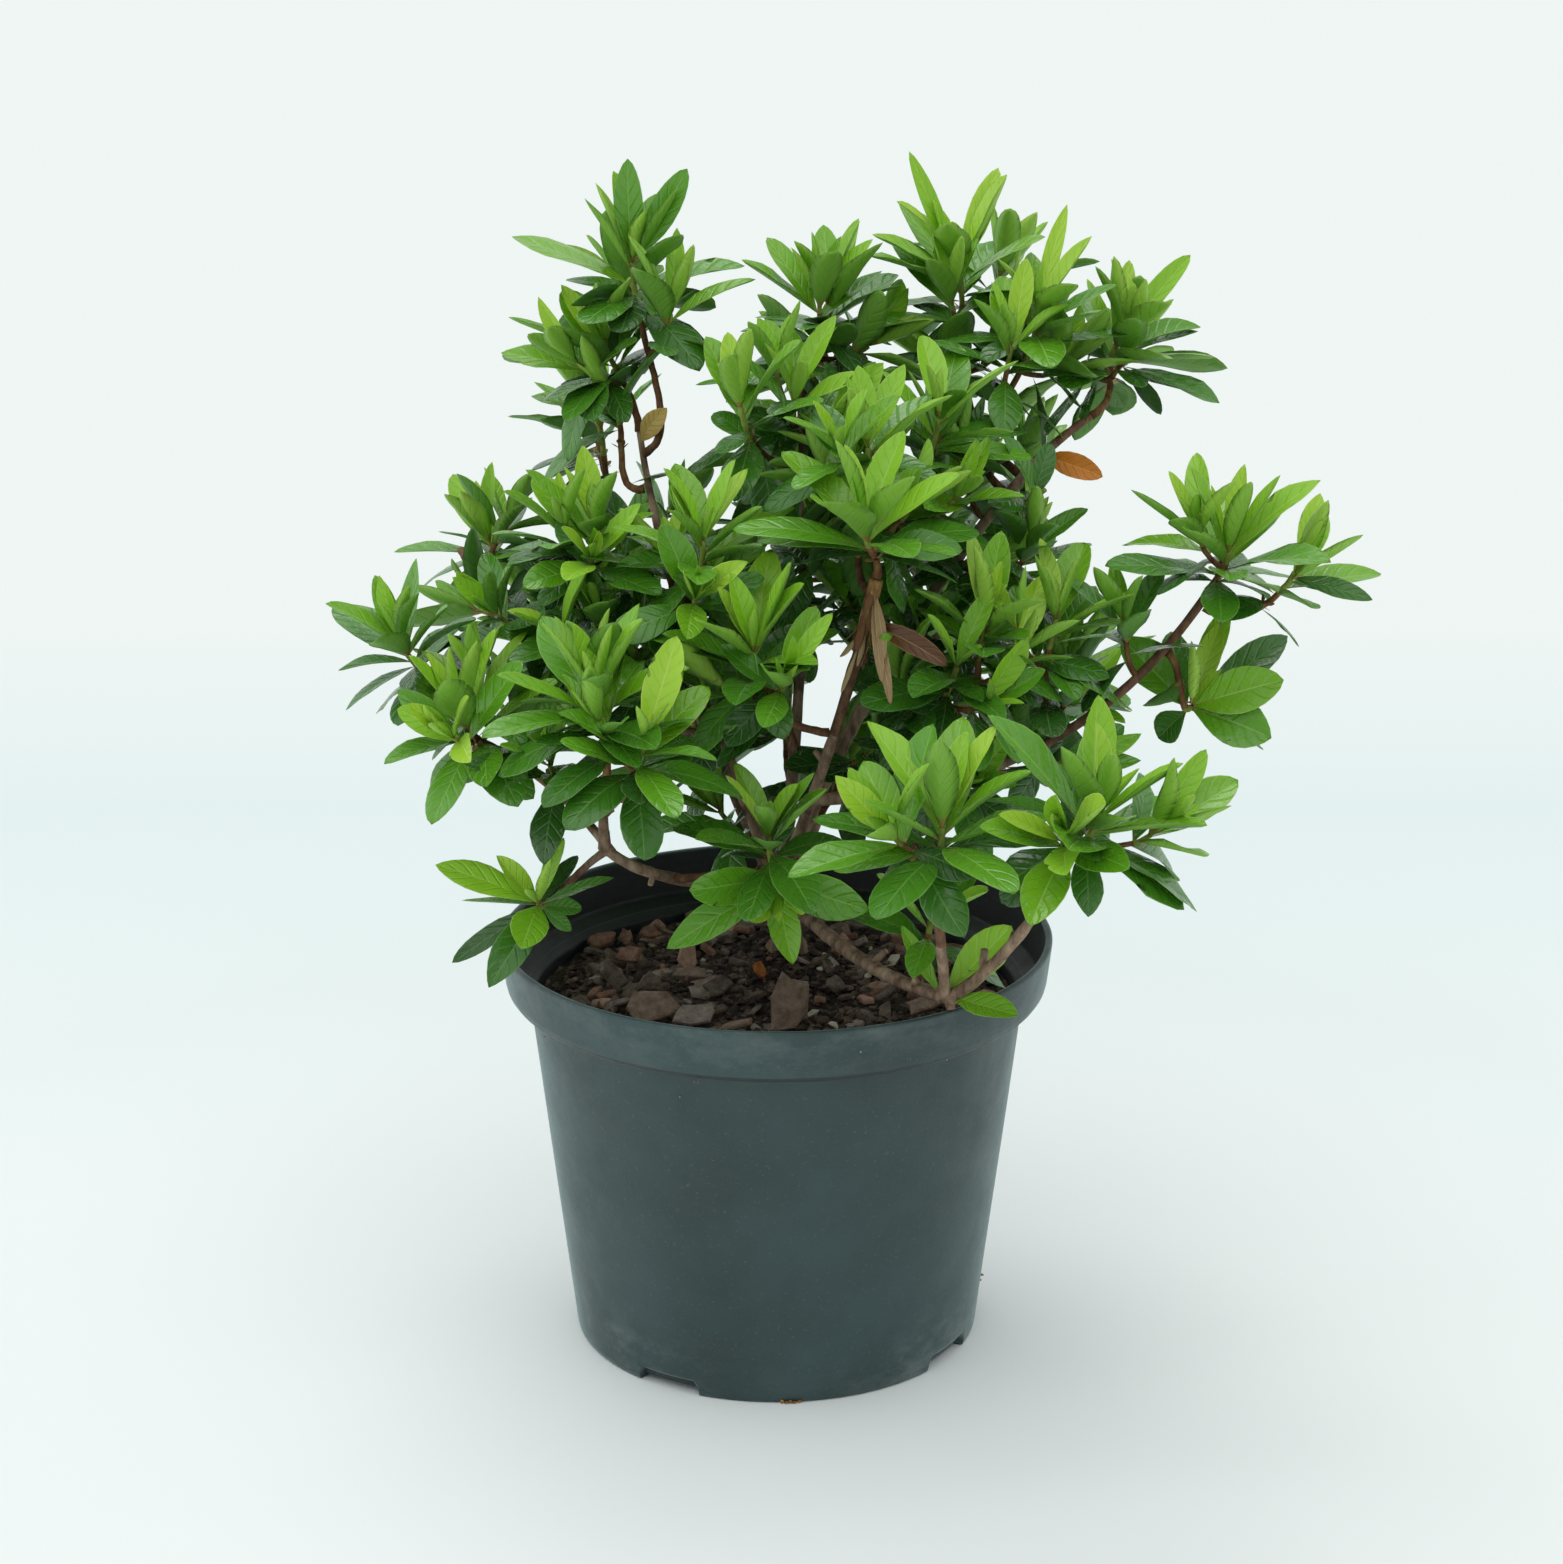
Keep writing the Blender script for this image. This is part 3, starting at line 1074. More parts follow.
# Boughs and twigs
BOUGH_RINGS = Traits(step=1.3, fewest=8, sides=16, collar=0.3, collar_fade=14)
STUB = Traits(steps=8, sides=10, foot=1.15, taper=0.3, cut=0.98, lean=0.5, rise=0.3)
TWIG_RINGS = Traits(step=1.6, fewest=6, sides=8, collar=0.25, collar_fade=10)
THICK_BOUGH = 1.6
YOUNG_FROM = 0.5
OLD_BARK, YOUNG_BARK, CUT, PEELED = range(4)
LONG_TWIG = 30
BROWN, RED, GREEN = range(3)
BROWN_UP_TO, RED_UP_TO = 0.45, 0.75

# Relief of limbs as shares of their radius; a lump is its depth and how often it comes
BARK = Traits(ridge=0.08, around=2.6, along=9, climb=0.02, swelling=(0.1, 0.2), lump=(0.03, 0.9))
KNOTS = Traits(lump=(0.12, 0.5), depth=0.08, pace=1.9)

# Short cut stubs on the limbs: limb, share, heading round it in degrees, length and radius
STUBS = [
    ("right_low", 0.55, 60, 4.5, 1),
    ("right_low", 0.99, 250, 1.6, 1.4),
    ("right_side", 0.3, 60, 5, 1.2),
    ("right_low", 0.8, 120, 2.2, 1.2),
    ("left_low", 0.97, 160, 5, 1),
    ("left_low", 0.6, 300, 2.6, 0.9),
    ("right_arm", 0.3, 200, 4, 0.8),
    ("right_side", 0.55, 40, 3, 0.8),
    ("centre", 0.4, 120, 3, 0.9),
    ("left_up", 0.4, 30, 2.4, 0.7),
    ("trunk", 0.5, 200, 3.2, 1.4),
]


def tube(bend, steps, sides, radius_at, shift):
    """Points and faces of a closed tube along a bend, and the share along it of each face."""
    points = []
    side = across(bend.heading(0))
    for i in range(steps + 1):
        share = i / steps
        along = bend.heading(share)
        side = unit(side - along * (side @ along))
        other = np.cross(along, side)
        middle, radius = bend.point(share), radius_at(share)
        for j in range(sides):
            angle = CIRCLE * j / sides
            out = math.cos(angle) * side + math.sin(angle) * other
            place = middle + out * radius
            points.append(place + out * (shift(place, share, angle) * radius))
    shares = [(i + 0.5) / steps for i in range(steps) for _ in range(sides)]
    return points, ring_faces(steps + 1, sides) + end_faces(steps + 1, sides), shares + [0, 1]


def relief(place, scale):
    return noise.noise(Vector(place) * scale)


def lumps(place, depth, scale):
    return depth * relief(place, scale)


def round_relief(angle, reach, rest):
    """Relief that closes on itself round an axis."""
    return noise.noise(Vector((math.cos(angle) * reach, math.sin(angle) * reach, rest)))


def bark_relief(place, share, angle):
    """Fine ridges that run along the limb, with slow swellings."""
    ridges = round_relief(angle, BARK.around, share * BARK.along + place[2] * BARK.climb)
    return BARK.ridge * ridges + lumps(place, *BARK.swelling) + lumps(place, *BARK.lump)


def trunk_radius(share):
    high = share * (TRUNK["tip"][2] - TRUNK["foot"][2])
    flare = max(0, 1 - high / FLARE_HEIGHT) ** 2
    return lerp(*TRUNK["radius"], share) + flare * (FLARE_RADIUS - TRUNK["radius"][0]) * FLARE_FULLNESS


def limb_radius(radius, rings, swollen=0):
    """How thick a limb is at each share: it tapers from a collar, and swells where bark peels."""

    def radius_at(share):
        swell = swollen * max(0, share - PEELING.zone[0]) / (1 - PEELING.zone[0])
        return lerp(*radius, share) * (1 + rings.collar * math.exp(-share * rings.collar_fade) + swell)

    return radius_at


def bough_piece():
    shape = Shape()
    for name, (bend, radius) in limbs.items():
        peels = name == PEELING.bough
        radius_at = limb_radius(radius, BOUGH_RINGS, PEELING.swell if peels else 0)
        if name == "trunk":
            radius_at = trunk_radius
        steps = max(BOUGH_RINGS.fewest, int(bend.span / BOUGH_RINGS.step))
        points, faces, shares = tube(bend, steps, BOUGH_RINGS.sides, radius_at, bark_relief)
        peeled = PEELING.zone[0] if peels else 1
        thick = radius[0] > THICK_BOUGH
        kinds = [OLD_BARK if thick or s < YOUNG_FROM else YOUNG_BARK for s in shares]
        shape.add(points, faces, [PEELED if s > peeled else kind for s, kind in zip(shares, kinds)])
    for name, share, turn, length, thick in STUBS:
        bend, radius = limbs[name]
        along = bend.heading(share)
        out = unit(round_axis(along, turn) + along * STUB.lean)
        root = bend.point(share)
        tip = root + out * (lerp(*radius, share) + length)
        stub = Bend.through(root, (root + tip) / 2 + UP * STUB.rise, tip)

        def stub_radius(share):
            return thick * (STUB.foot - STUB.taper * share)

        points, faces, shares = tube(stub, STUB.steps, STUB.sides, stub_radius, bark_relief)
        shape.add(points, faces, [CUT if s > STUB.cut else OLD_BARK for s in shares])
    piece = shape.piece("boughs", [
        bark_finish("bark_old", "5c483a", "8f7763", "b09982", 320),
        bark_finish("bark_young", "4b3428", "6e4f3c", "86664e", 420),
        bark_finish("bark_cut", "6f5a44", "9a8262", "b8a283", 500),
        bark_finish("bark_peeled", "5c4128", "8f6b42", "b8925f", 420),
    ])
    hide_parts(*limbs)


def bark_finish(name, dark, mid, pale, scale):
    """Matt bark with streaks along the limb."""
    made = Finish(name, Specular_IOR_Level=0.3)
    streaks = made.noise(scale, 4, 0.65, made.stretched(1, 1, 0.35))
    made.drive("Base Color", made.ramp(streaks, [(0.32, dark), (0.5, mid), (0.68, pale)]))
    made.drive("Roughness", made.between(made.noise(400, 3), 0.7, 0.92))
    made.bump(made.noise(1400, 4, 0.7, made.stretched(1, 1, 0.3)), 0.6, 0.3)
    return made.material


def twig_piece():
    """Twigs from brown feet through red to green tips, with slight knots."""
    shape = Shape()
    for shoot in crown.shoots:
        bend = shoot["bend"]
        steps = max(TWIG_RINGS.fewest, int(bend.span / TWIG_RINGS.step))

        def knots(place, share, angle):
            return lumps(place, *KNOTS.lump) + KNOTS.depth * math.cos(share * steps * KNOTS.pace + angle)

        radius_at = limb_radius(shoot["radius"], TWIG_RINGS)
        points, faces, shares = tube(bend, steps, TWIG_RINGS.sides, radius_at, knots)
        brown = BROWN_UP_TO if bend.span > LONG_TWIG else 0
        shape.add(points, faces, [BROWN if s < brown else RED if s < RED_UP_TO else GREEN for s in shares])
    piece = shape.piece("twigs", [
        bark_finish("twig_brown", "4a3224", "6c4a34", "825f45", 500),
        bark_finish("twig_red", "5a3626", "7a5334", "857043", 500),
        bark_finish("twig_green", "66702f", "7f8d3c", "98a852", 500),
    ])


# Pot
POT_HEIGHT = 119.2
FOOT_RADIUS = 58
WALL_TOP_RADIUS = 70.6
BAND_FOOT_Z = 104
BAND_FOOT_RADIUS = 76.7
RIM_RADIUS = 78.5
RIM_INSIDE = 76.4
RIM_TILT = 1
WALL = 1.8
FLOOR = 2
SOIL_Z = 100
MID_WALL_Z = 60
BAND_BEND = 3.6
EDGE_BEND = 1
POT_SIDES = 180
UNEVEN = Traits(depth=0.16, around=1.3, along=0.02, full_radius=60)
POT_SEED = 15
NOTCH = Traits(count=4, width=20, height=4.4, first=238, edge=1.6, rounding=0.45)
NOTCH_STEPS = (-0.05, 0.02, 0.12, 0.35, 0.8, 1.5)

# The foot of the pot's profile, from its underside to the wall: radius and height, plain and in a notch
FOOT_ROWS = [
    ((1, 0.6), (1, 0.6)),
    ((50, 0.6), (50, 0.6)),
    ((52.4, 0.4), (52.4, 0.4)),
    ((53, 0), (53, 0)),
    ((54.5, 0), (53, NOTCH.height)),
    ((57.1, 0), (56.5, NOTCH.height)),
    ((57.9, 0.4), (58.1, NOTCH.height + 0.1)),
    ((58.2, 1.6), (58.6, NOTCH.height + 0.8)),
]
WALL_ROWS = range(6, 102, 6)
CORNER_SHARES = (0, 0.25, 0.5, 0.75, 1)

# Specks stuck to the pot: heading in degrees, height, radius from the axis and size
OUTSIDE, INSIDE, FLECK, RESIDUE, SCRAPE = range(5)
SPECKS = {
    FLECK: [(-98.7, 102.9, 69.9, 0.5), (-73, 113.2, 77.7, 0.35), (-53, 105.6, 77.1, 0.3),
            (-112, 96, 69.8, 0.25)],
    RESIDUE: [(-86, 0.5, 58.1, 1), (-83.5, 0.5, 58.1, 0.8), (-88.5, 0.6, 58.1, 0.8),
              (-85, 0.4, 58.4, 0.7), (-87.3, 0.4, 58.3, 0.7), (-5, 14.6, 59.9, 0.7),
              (-6.5, 13.6, 59.7, 0.5)],
    SCRAPE: [(-147.6, 103.8, 76, 0.4), (-125, 104.1, 76.4, 0.45), (-124, 104, 76.2, 0.3),
             (-118.8, 103.9, 76.2, 0.35), (-105.9, 103.9, 76.3, 0.45), (-106.8, 103.9, 76.3, 0.3),
             (-60, 104, 76.3, 0.3)],
}


def wall_radius(z):
    return lerp(FOOT_RADIUS, WALL_TOP_RADIUS, z / BAND_FOOT_Z)


def rounded(corners):
    """A profile with each corner of given radius drawn as a short arc of points."""
    points = []
    for i, (x, z, radius) in enumerate(corners):
        here = np.array((x, z), float)
        if not radius:
            points.append(here)
            continue
        before = np.array(corners[i - 1][:2]) - here
        after = np.array(corners[(i + 1) % len(corners)][:2]) - here
        before, after = before / np.hypot(*before), after / np.hypot(*after)
        for share in CORNER_SHARES:
            points.append(here + before * radius * (1 - share) ** 2 + after * radius * share**2)
    return points


def pot_rings():
    """Rings of the pot from the middle of its underside, up the wall and down its inside to the floor."""
    ledge = BAND_FOOT_Z - FLOOR
    upper = [(wall_radius(z), z, 0) for z in WALL_ROWS] + [
        (WALL_TOP_RADIUS, BAND_FOOT_Z - 0.4, EDGE_BEND),
        (BAND_FOOT_RADIUS, BAND_FOOT_Z, BAND_BEND),
        (lerp(BAND_FOOT_RADIUS, RIM_RADIUS, 0.5), lerp(BAND_FOOT_Z, POT_HEIGHT, 0.5), 0),
        (RIM_RADIUS, POT_HEIGHT, EDGE_BEND),
        (RIM_INSIDE, POT_HEIGHT, EDGE_BEND),
        (BAND_FOOT_RADIUS - WALL, BAND_FOOT_Z + WALL, EDGE_BEND),
        (wall_radius(ledge) - WALL, ledge, EDGE_BEND),
        (wall_radius(MID_WALL_Z) - WALL, MID_WALL_Z, 0),
        (wall_radius(FLOOR) - WALL, FLOOR, 0),
        (1, FLOOR, 0),
    ]
    return FOOT_ROWS + [(tuple(p), tuple(p)) for p in rounded(upper)]


def notch_share(angle):
    """1 in a notch, 0 outside, with steep sides that round off under its top."""
    apart = (angle - math.radians(NOTCH.first)) % (CIRCLE / NOTCH.count)
    apart = min(apart, CIRCLE / NOTCH.count - apart) * FOOT_RADIUS
    inward = (NOTCH.width / 2 - apart) / NOTCH.edge
    return max(0, min(1, inward)) ** NOTCH.rounding


def pot_angles():
    """Even steps round the pot, with closer ones at the notches' sides."""
    angles = [CIRCLE * j / POT_SIDES for j in range(POT_SIDES)]
    for i in range(NOTCH.count):
        middle = math.radians(NOTCH.first + 360 / NOTCH.count * i)
        apart = [side * (NOTCH.width / 2 - inward) for side in (-1, 1) for inward in NOTCH_STEPS]
        angles += [(middle + away / FOOT_RADIUS) % CIRCLE for away in apart]
    return sorted(angles)


def pot_point(radius, z, angle):
    """A place on the pot, whose wall is a little uneven and whose rim tilts."""
    sag = UNEVEN.depth * round_relief(angle, UNEVEN.around, z * UNEVEN.along)
    radius += sag * min(1, radius / UNEVEN.full_radius)
    z -= RIM_TILT * math.sin(angle) * max(0, (z - SOIL_Z) / (POT_HEIGHT - SOIL_Z))
    return radius * math.cos(angle), radius * math.sin(angle), z


def pot_piece():
    """A turned pot with four notches through its foot, and specks on it."""
    rings, angles = pot_rings(), pot_angles()
    points = []
    for plain, notched in rings:
        for angle in angles:
            share = notch_share(angle)
            points.append(pot_point(*(lerp(a, b, share) for a, b in zip(plain, notched)), angle))
    rim = max(range(len(rings)), key=lambda k: rings[k][0][1])
    corner = len(CORNER_SHARES) - 1
    ledge = len(FOOT_ROWS) + len(WALL_ROWS) + corner
    hidden = [k >= rim + corner or ledge <= k < ledge + corner for k in range(len(rings) - 1)]
    kinds = [INSIDE if inner else OUTSIDE for inner in hidden for _ in angles] + [OUTSIDE, INSIDE]
    shape, random = Shape(), Random(POT_SEED)
    shape.add(points, ring_faces(len(rings), len(angles)) + end_faces(len(rings), len(angles)), kinds)
    for finish, spots in SPECKS.items():
        for turn, z, radius, size in spots:
            angle = math.radians(turn)
            shape.add(*crumb(size, (radius * math.cos(angle), radius * math.sin(angle), z), random), finish)
    piece = shape.piece("pot_moulded", [
        pot_finish("pot_outside", "243636", "334a4b", "6a7876", 0.4),
        pot_finish("pot_inside", "182020", "222b2b", "3a4545", 0.1),
        soil_finish("fleck", "b9bdb6", "cfd2cb", "e2e4dd"),
        soil_finish("residue", "7a4e26", "a0703a", "bf9456"),
        soil_finish("scrape", "6c5a54", "8c7468", "a88c80"),
    ])
    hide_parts("pot")


def pot_finish(name, dark, light, worn, sheen):
    """Satin plastic with faint clouds, paler where edges are rubbed, fine grain and light scratches."""
    shine = dict(Sheen_Weight=sheen, Sheen_Roughness=0.3, Sheen_Tint=(0.74, 1, 1, 1))
    made = Finish(name, Specular_IOR_Level=0.5, **shine)
    base = made.mixed(made.between(made.noise(16, 4, 0.55), 0, 1), dark, light)
    here = made.parts(made.place())
    high = made.maths("MULTIPLY", here["Z"], 8)
    foot = made.ramp(high, [(0.01, 0.9), (0.1, 0.6), (0.18, 0)])
    aside = made.ramp(made.maths("MULTIPLY", made.maths("ABSOLUTE", here["X"]), 10), [(0.15, 0.1), (0.4, 1)])
    band = made.ramp(high, [(0.84, 0.02), (0.87, 0.24), (0.954, 0.5)])
    edges = made.maths("ADD", made.maths("MULTIPLY", foot, aside), band)
    rubbed = made.ramp(made.noise(55, 6, 0.7, made.stretched(1, 1, 1.8)), [(0.45, 0), (0.7, 1)])
    base = made.mixed(made.maths("MULTIPLY", edges, rubbed), base, worn)
    dust = made.ramp(made.noise(900, 3, 0.8), [(0.6, 0), (0.78, 0.5)])
    made.drive("Base Color", made.mixed(dust, base, worn))
    made.drive("Roughness", made.between(made.noise(90, 5, 0.7), 0.4, 0.58))
    scratches = made.noise(500, 3, 0.7, made.stretched(0.12, 0.12, 1.6))
    made.bump(made.maths("ADD", made.noise(1500, 2), scratches), 0.4, 0.12)
    return made.material


# Soil: a rough bed, crumbs, bark chips and white grit, each tone dark, middle and pale
SOIL_TONES = {
    "soil_dark": ("1d1614", "352b26", "544840"),
    "soil_brown": ("42362f", "655549", "877666"),
    "chip_dark": ("4a3f38", "70635a", "948579"),
    "chip_red": ("64493d", "906c5a", "ad8b78"),
    "chip_tan": ("6e5b50", "957e70", "b09c8e"),
    "chip_grey": ("776a64", "9c8e86", "b8aca4"),
    "chip_pink": ("9a7262", "bc9684", "d0ae9c"),
    "chip_orange": ("8a4a22", "b06a35", "c5854c"),
    "grit_white": ("b8b29c", "d2ccb8", "e6e2d4"),
}
CHIP_MIX = ["chip_dark"] * 6 + ["soil_brown"] * 5 + ["chip_red"] * 3
CHIP_MIX += ["chip_tan", "chip_grey", "chip_pink"] * 2
CRUMBS = Traits(count=2200, radius=(0.5, 1.7), raised=0.3, dark=0.6)
LOOSE = Traits(count=230, length=(3, 10.5), width=(0.35, 0.85), thick=(0.9, 2.2), lean=42, raised=0.8,
               clear=9)
GRIT = Traits(count=22, radius=(0.4, 1.1), raised=0.8, seen_raised=0.7)
BED = Traits(rings=44, sides=120, closer=0.8, below=14, gap=0.5, dark=0.12, dark_scale=0.5, sunk=0.4,
             swelling=(1.2, 0.06), wave=(0.9, 0.25), lump=(0.8, 0.9), mound=1.6, mound_spread=260,
             drop=0.6, drop_from=58, drop_run=10)
CRUMB = Traits(corners=6, squash=(0.5, 0.9), uneven=0.3, lean=30)
SPOTS_FROM_WALL = 4
SOIL_SEED = 71
CHIP_SEEN_RAISED, CHIP_SEEN_LIFT = 1.2, 0.42
CHIP = Traits(corners=8, corner_spread=0.45, squareness=0.72, reach_spread=0.2, bow=0.12, rough=0.1,
              levels=((-0.5, 0.86), (-0.28, 1), (0.28, 0.98), (0.5, 0.84)))

# Chips that stand out: pixel, width, length, thickness in millimetres, lean, turn and roll in degrees, tone
CHIPS_SEEN = [
    (653, 1006, 15, 10, 1.6, 40, 8, 4, "chip_tan"),
    (693, 1015, 11, 8, 1.4, 30, -12, 10, "chip_grey"),
    (790, 1004, 11, 16, 1.5, 72, -6, -12, "chip_tan"),
    (690, 972, 10, 4, 1.2, 30, -20, 5, "chip_tan"),
    (688, 958, 6, 8, 1.5, 50, 20, -15, "chip_pink"),
    (760, 970, 3, 5, 1.2, 50, 10, 20, "chip_orange"),
    (718, 985, 9, 6, 1.5, 25, 40, 6, "chip_dark"),
    (628, 955, 8, 6, 1.4, 35, -30, 0, "chip_red"),
    (600, 940, 10, 5, 1.6, 20, 15, 10, "chip_red"),
    (836, 985, 7, 5, 1.4, 30, 60, 0, "chip_dark"),
    (925, 1003, 12, 5, 1.6, 20, 24, 12, "chip_tan"),
    (655, 930, 9, 6, 1.5, 30, 10, 20, "chip_red"),
    (612, 975, 7, 9, 1.4, 40, 60, 0, "chip_dark"),
]
GRIT_SEEN = [(814, 1013, 2.1), (835, 1025, 1.7), (820, 969, 1.1), (893, 960, 3.1), (868, 975, 1.2)]


def soil_number(tone):
    return list(SOIL_TONES).index(tone)


def on_level(x, y, z):
    """The place on a level plane that the picture shows at a pixel."""
    rise = (FRAME_SIZE[1] / 2 - y) / FOCAL
    return seen_at(x, y, (AIM_Z - z + rise * DISTANCE * UPWARD[2]) / (-FORWARD[2] - rise * UPWARD[2]))


def soil_level(x, y):
    """The rough height of the soil, highest round the trunk and low by the wall."""
    out = math.hypot(x, y)
    swell = lumps((x, y, 3), *BED.swelling) + lumps((x, y, 9), *BED.wave)
    from_trunk = (x - TRUNK["foot"][0]) ** 2 + (y - TRUNK["foot"][1]) ** 2
    mound = BED.mound * math.exp(-from_trunk / BED.mound_spread)
    drop = BED.drop * max(0, out - BED.drop_from) / BED.drop_run
    return SOIL_Z - BED.sunk + swell + mound - drop


def soil_bed(shape):
    edge = wall_radius(SOIL_Z) - WALL - BED.gap
    spokes = [(math.cos(CIRCLE * j / BED.sides), math.sin(CIRCLE * j / BED.sides)) for j in range(BED.sides)]
    points = []
    for i in range(BED.rings + 1):
        out = edge * (i / BED.rings) ** BED.closer
        for x, y in ((out * east, out * north) for east, north in spokes):
            points.append((x, y, soil_level(x, y) + lumps((x, y, 1), *BED.lump)))
    points += [(edge * east, edge * north, SOIL_Z - BED.below) for east, north in spokes]
    faces = ring_faces(BED.rings + 2, BED.sides)
    darker, paler = soil_number("soil_dark"), soil_number("soil_brown")
    kinds = [darker if relief(points[face[0]], BED.dark_scale) < BED.dark else paler for face in faces]
    shape.add(points, [face[::-1] for face in faces], kinds)


def turned(points, lean, turn, roll, centre):
    """Points leaned back about X, rolled about their own normal and turned about Z."""
    spin = Matrix.Rotation(math.radians(turn), 3, "Z") @ Matrix.Rotation(math.radians(lean), 3, "X")
    spin = np.array(spin @ Matrix.Rotation(math.radians(roll), 3, "Z"))
    return np.asarray(points) @ spin.T + centre


def chip(size, lean, turn, roll, centre, random):
    """The points and faces of an irregular flake of bark with bevelled edges."""
    wide, long, thick = size
    outline = []
    for i in range(CHIP.corners):
        angle = CIRCLE * (i + random.spread(CHIP.corner_spread)) / CHIP.corners
        reach = 1 / max(abs(math.cos(angle)), abs(math.sin(angle))) ** CHIP.squareness
        reach *= 1 + random.spread(CHIP.reach_spread)
        outline.append((math.cos(angle) * reach * wide / 2, math.sin(angle) * reach * long / 2))
    points = []
    bow = random.spread(CHIP.bow)
    for level, shrink in CHIP.levels:
        for x, y in outline:
            lift = bow * x * x / wide + random.spread(CHIP.rough) * thick
            points.append((x * shrink, y * shrink, level * thick + lift))
    points += [(0, 0, level * thick + random.spread(CHIP.rough) * thick) for level in (-0.5, 0.5)]
    faces = ring_faces(len(CHIP.levels), CHIP.corners)
    top = (len(CHIP.levels) - 1) * CHIP.corners
    low, high = len(points) - 2, len(points) - 1
    for i in range(CHIP.corners):
        after = (i + 1) % CHIP.corners
        faces += [(low, after, i), (high, top + i, top + after)]
    return turned(points, lean, turn, roll, centre), faces


def crumb(radius, centre, random):
    """The points and faces of a small lump, a squashed double cone of uneven corners."""
    squash = random.between(*CRUMB.squash)
    spin = random.next() * 360
    points = []
    for i in range(CRUMB.corners):
        angle = math.radians(spin + 360 / CRUMB.corners * i)
        reach = radius * (1 + random.spread(CRUMB.uneven))
        lift = random.spread(CRUMB.uneven) * radius
        points.append((math.cos(angle) * reach, math.sin(angle) * reach, lift))
    points += [(0, 0, -radius * squash), (random.spread(CRUMB.uneven) * radius, 0, radius * squash)]
    low, high = CRUMB.corners, CRUMB.corners + 1
    faces = []
    for i in range(CRUMB.corners):
        after = (i + 1) % CRUMB.corners
        faces += [(i, after, high), (after, i, low)]
    return turned(points, random.spread(CRUMB.lean), spin, 0, centre), faces


def random_spot(random):
    out = (wall_radius(SOIL_Z) - WALL - SPOTS_FROM_WALL) * math.sqrt(random.next())
    angle = random.next() * CIRCLE
    x, y = out * math.cos(angle), out * math.sin(angle)
    return x, y, soil_level(x, y)


def soil_piece():
    shape, random = Shape(), Random(SOIL_SEED)
    soil_bed(shape)
    for _ in range(CRUMBS.count):
        x, y, z = random_spot(random)
        radius = random.between(*CRUMBS.radius)
        made = crumb(radius, (x, y, z + radius * CRUMBS.raised), random)
        shape.add(*made, soil_number("soil_dark" if random.next() < CRUMBS.dark else "soil_brown"))
    for _ in range(LOOSE.count):
        x, y, z = random_spot(random)
        long = random.between(*LOOSE.length)
        size = (long * random.between(*LOOSE.width), long, random.between(*LOOSE.thick))
        lean = random.spread(LOOSE.lean)
        if math.hypot(x - TRUNK["foot"][0], y - TRUNK["foot"][1]) > LOOSE.clear + long / 2:
            made = chip(size, lean, random.next() * 360, 0, (x, y, z + LOOSE.raised), random)
            shape.add(*made, soil_number(CHIP_MIX[int(random.next() * len(CHIP_MIX))]))
    for x, y, wide, long, thick, lean, turn, roll, tone in CHIPS_SEEN:
        level = SOIL_Z + CHIP_SEEN_RAISED + math.sin(math.radians(lean)) * long * CHIP_SEEN_LIFT
        centre = on_level(x, y, level)
        shape.add(*chip((wide, long, thick), lean, turn, roll, centre, random), soil_number(tone))
    for x, y, radius in GRIT_SEEN:
        centre = on_level(x, y, SOIL_Z + radius * GRIT.seen_raised)
        shape.add(*crumb(radius, centre, random), soil_number("grit_white"))
    for _ in range(GRIT.count):
        x, y, z = random_spot(random)
        radius = random.between(*GRIT.radius)
        shape.add(*crumb(radius, (x, y, z + radius * GRIT.raised), random), soil_number("grit_white"))
    finishes = [soil_finish(name, *tones) for name, tones in SOIL_TONES.items()]
    piece = shape.piece("soil_and_bark", finishes, smooth=False)
    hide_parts("soil")


def soil_finish(name, dark, mid, pale):
    """Rough crumbly matter."""
    made = Finish(name, Specular_IOR_Level=0.3)
    made.drive("Base Color", made.ramp(made.noise(350, 5, 0.7), [(0.3, dark), (0.5, mid), (0.72, pale)]))
    made.drive("Roughness", made.between(made.noise(300, 3), 0.75, 0.95))
    made.bump(made.noise(1100, 5, 0.75), 0.8, 0.5)
    return made.material


# Floor, light and camera
FLOOR_RADIUS = 8
FLOOR_SIDES = 96
SKY_LIGHT = Traits(tint=(0.93, 0.98, 0.985, 1), front=0.38, back=0.86, side=0.4, shift=0.22)
LAMP_TINT = (1, 0.98, 0.97)
SENSOR_WIDTH = 36
CLIP = (0.01, 40)


def floor_piece():
    """A wide pale floor, slightly cooler behind the pot and whitest round it."""
    mesh = bpy.data.meshes.new("floor")
    headings = [CIRCLE * j / FLOOR_SIDES for j in range(FLOOR_SIDES)]
    edge = [(FLOOR_RADIUS * math.cos(heading), FLOOR_RADIUS * math.sin(heading), 0) for heading in headings]
    mesh.from_pydata(edge, [], [tuple(range(FLOOR_SIDES))])
    made = Finish("floor_paper", Specular_IOR_Level=0.2)
    far = made.carried(made.parts(made.place())["Y"], (-0.6, 0.9), (0, 1))
    tint = made.ramp(far, [(0, "f5f9f7"), (0.45, "f0f6f4"), (0.7, "e3eded"), (0.86, "edf1ef")])
    out = made.add("VectorMath", {"Vector": made.place()}, operation="LENGTH").outputs["Value"]
    near = made.ramp(made.maths("MULTIPLY", out, 2), [(0.14, 1), (0.62, 0)])
    made.drive("Base Color", made.mixed(near, tint, "fbffff"))
    made.drive("Roughness", made.between(made.noise(30, 2), 0.75, 0.85))
    mesh.materials.append(made.material)
    floor = put("floor", mesh)


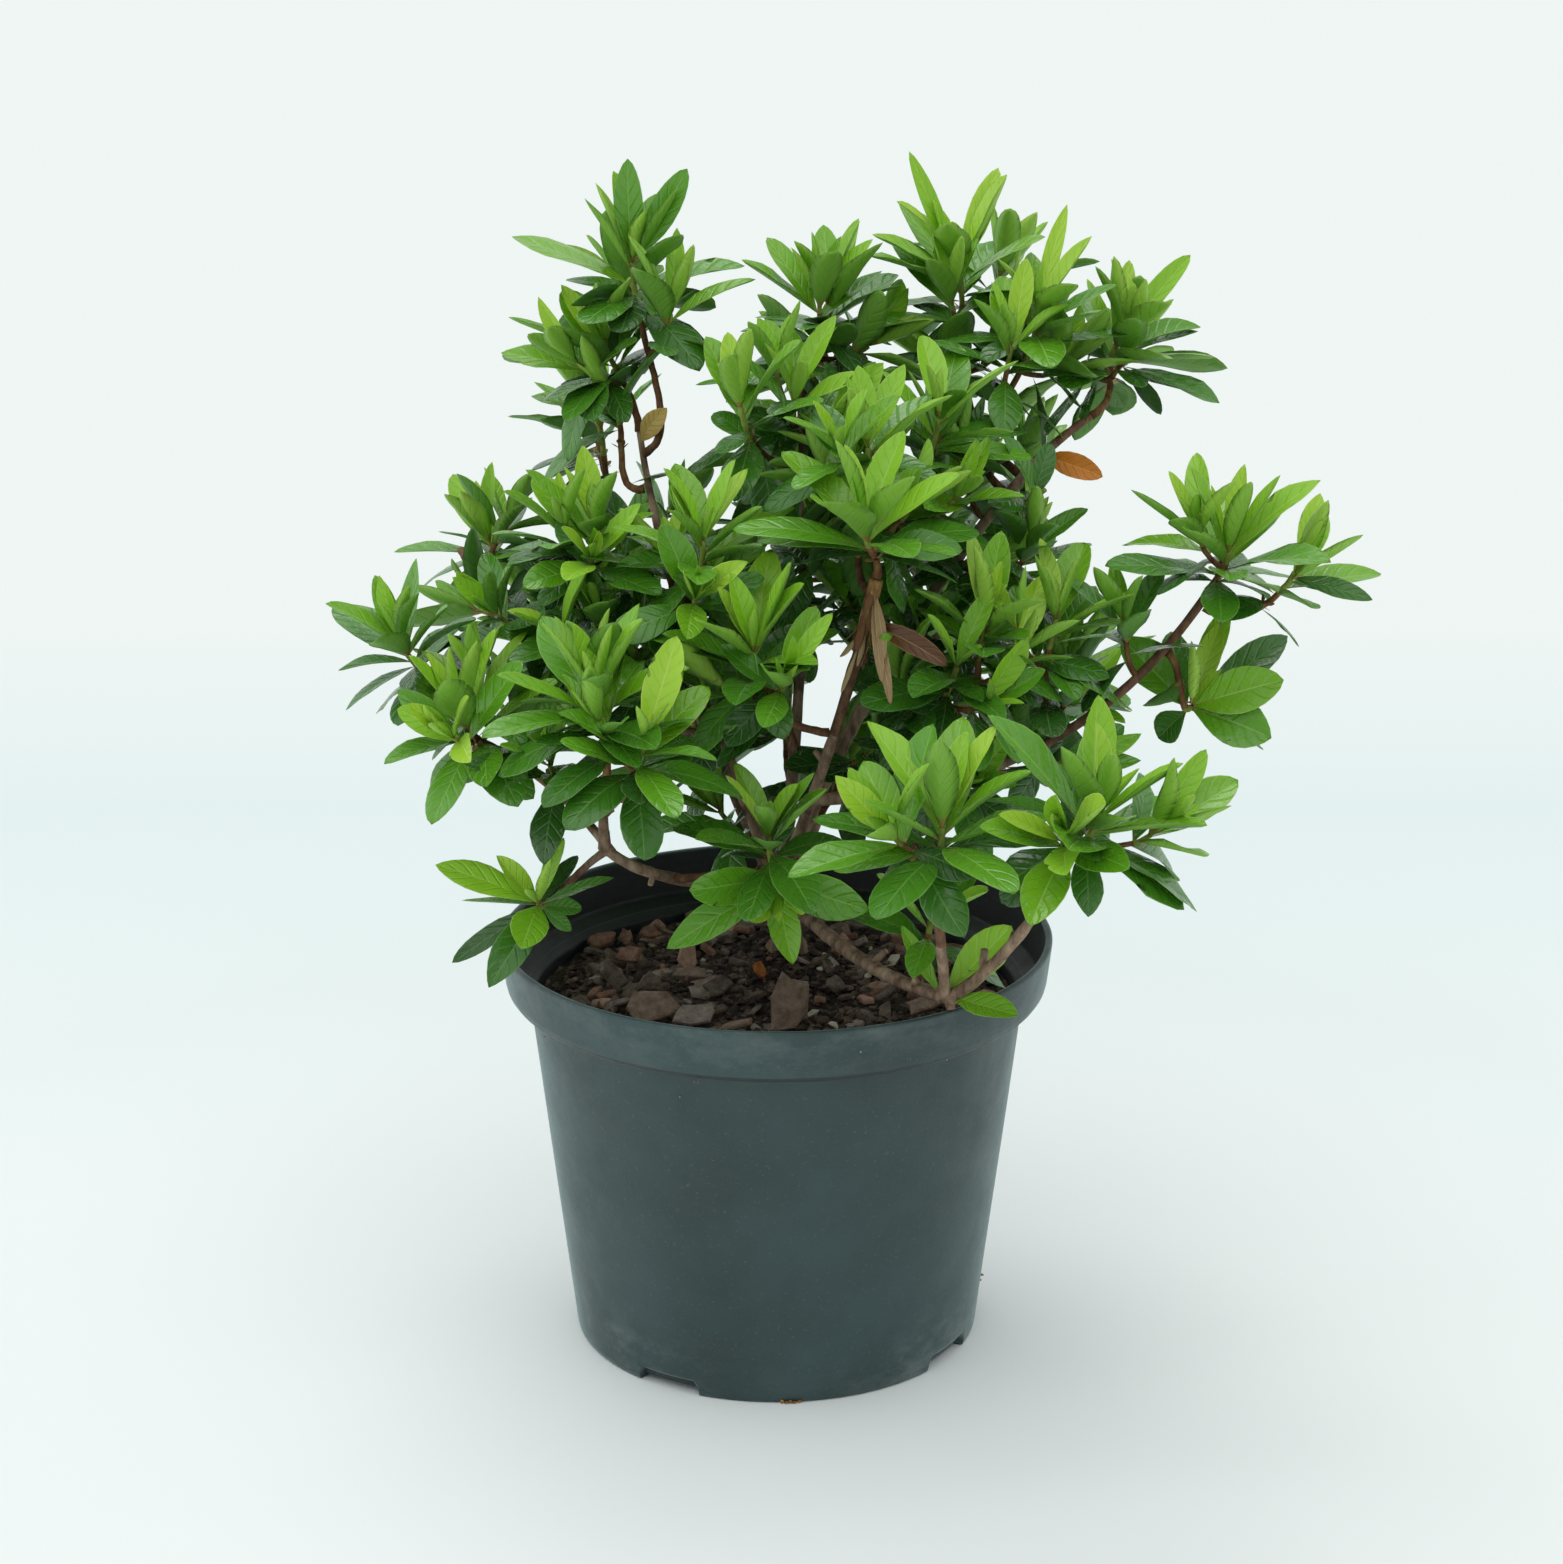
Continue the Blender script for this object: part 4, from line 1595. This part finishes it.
def sun_light(name, source, power, width_deg):
    """A distant soft light that falls the same on the whole floor."""
    light = bpy.data.lights.new(name, "SUN")
    light.energy = power
    light.angle = math.radians(width_deg)
    light.color = LAMP_TINT
    put(name, light).rotation_euler = Vector(source).to_track_quat("Z", "Y").to_euler()


def light_scene():
    """A pale sky, brighter behind and at the sides, and two soft lights from above."""
    world = bpy.data.worlds.new("studio")
    made = Nodes(world)
    heading = made.parts(made.add("TexCoord").outputs["Generated"])
    depth = made.carried(heading["Y"], (-1, 1), (SKY_LIGHT.front, SKY_LIGHT.back))
    aside = made.maths("SUBTRACT", heading["X"], SKY_LIGHT.shift)
    sides = made.maths("MULTIPLY", aside, aside)
    sky = made.tree.nodes["Background"].inputs
    made.tree.links.new(made.maths("MULTIPLY_ADD", sides, SKY_LIGHT.side, depth), sky["Strength"])
    sky["Color"].default_value = SKY_LIGHT.tint
    bpy.context.scene.world = world
    sun_light("overhead", (0.05, -0.45, 1), 0.7, 60)
    sun_light("softbox", (-0.1, 0.5, 1), 0.45, 26)
    bpy.context.scene.view_settings.view_transform = "Standard"


def camera_piece():
    centre = np.array((FRAME_SIZE[0] / 2 - AXIS_X, 0, 0)) / FOCAL * DISTANCE + AIM_Z * UP - FORWARD * DISTANCE
    lens = bpy.data.cameras.new("camera")
    lens.sensor_fit = "HORIZONTAL"
    lens.sensor_width = SENSOR_WIDTH
    lens.lens = SENSOR_WIDTH * FOCAL / FRAME_SIZE[0]
    lens.clip_start, lens.clip_end = CLIP
    camera = put("camera", lens)
    camera.location = centre * MM
    camera.rotation_euler = (math.pi / 2 - ELEVATION, 0, 0)
    bpy.context.scene.camera = camera


# The shrub
LEAF_PIECES = 5
MASSES_A_PIECE = math.ceil(len(MASSES) / LEAF_PIECES)
LEAF_SEED = 4242

light_scene()
camera_piece()
floor_piece()
pot_piece()
soil_piece()
bough_piece()
twig_piece()
finishes = leaf_finishes()
blade_random = Random(LEAF_SEED)
for number in range(LEAF_PIECES):
    names = [row[0] for row in MASSES][number * MASSES_A_PIECE:(number + 1) * MASSES_A_PIECE]
    leaves = [leaf for leaf in crown.leaves if leaf["owner"] in names]
    leaf_mesh = leaf_piece(f"leaves_{number + 1}", leaves, finishes, blade_random)
    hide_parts(*names)
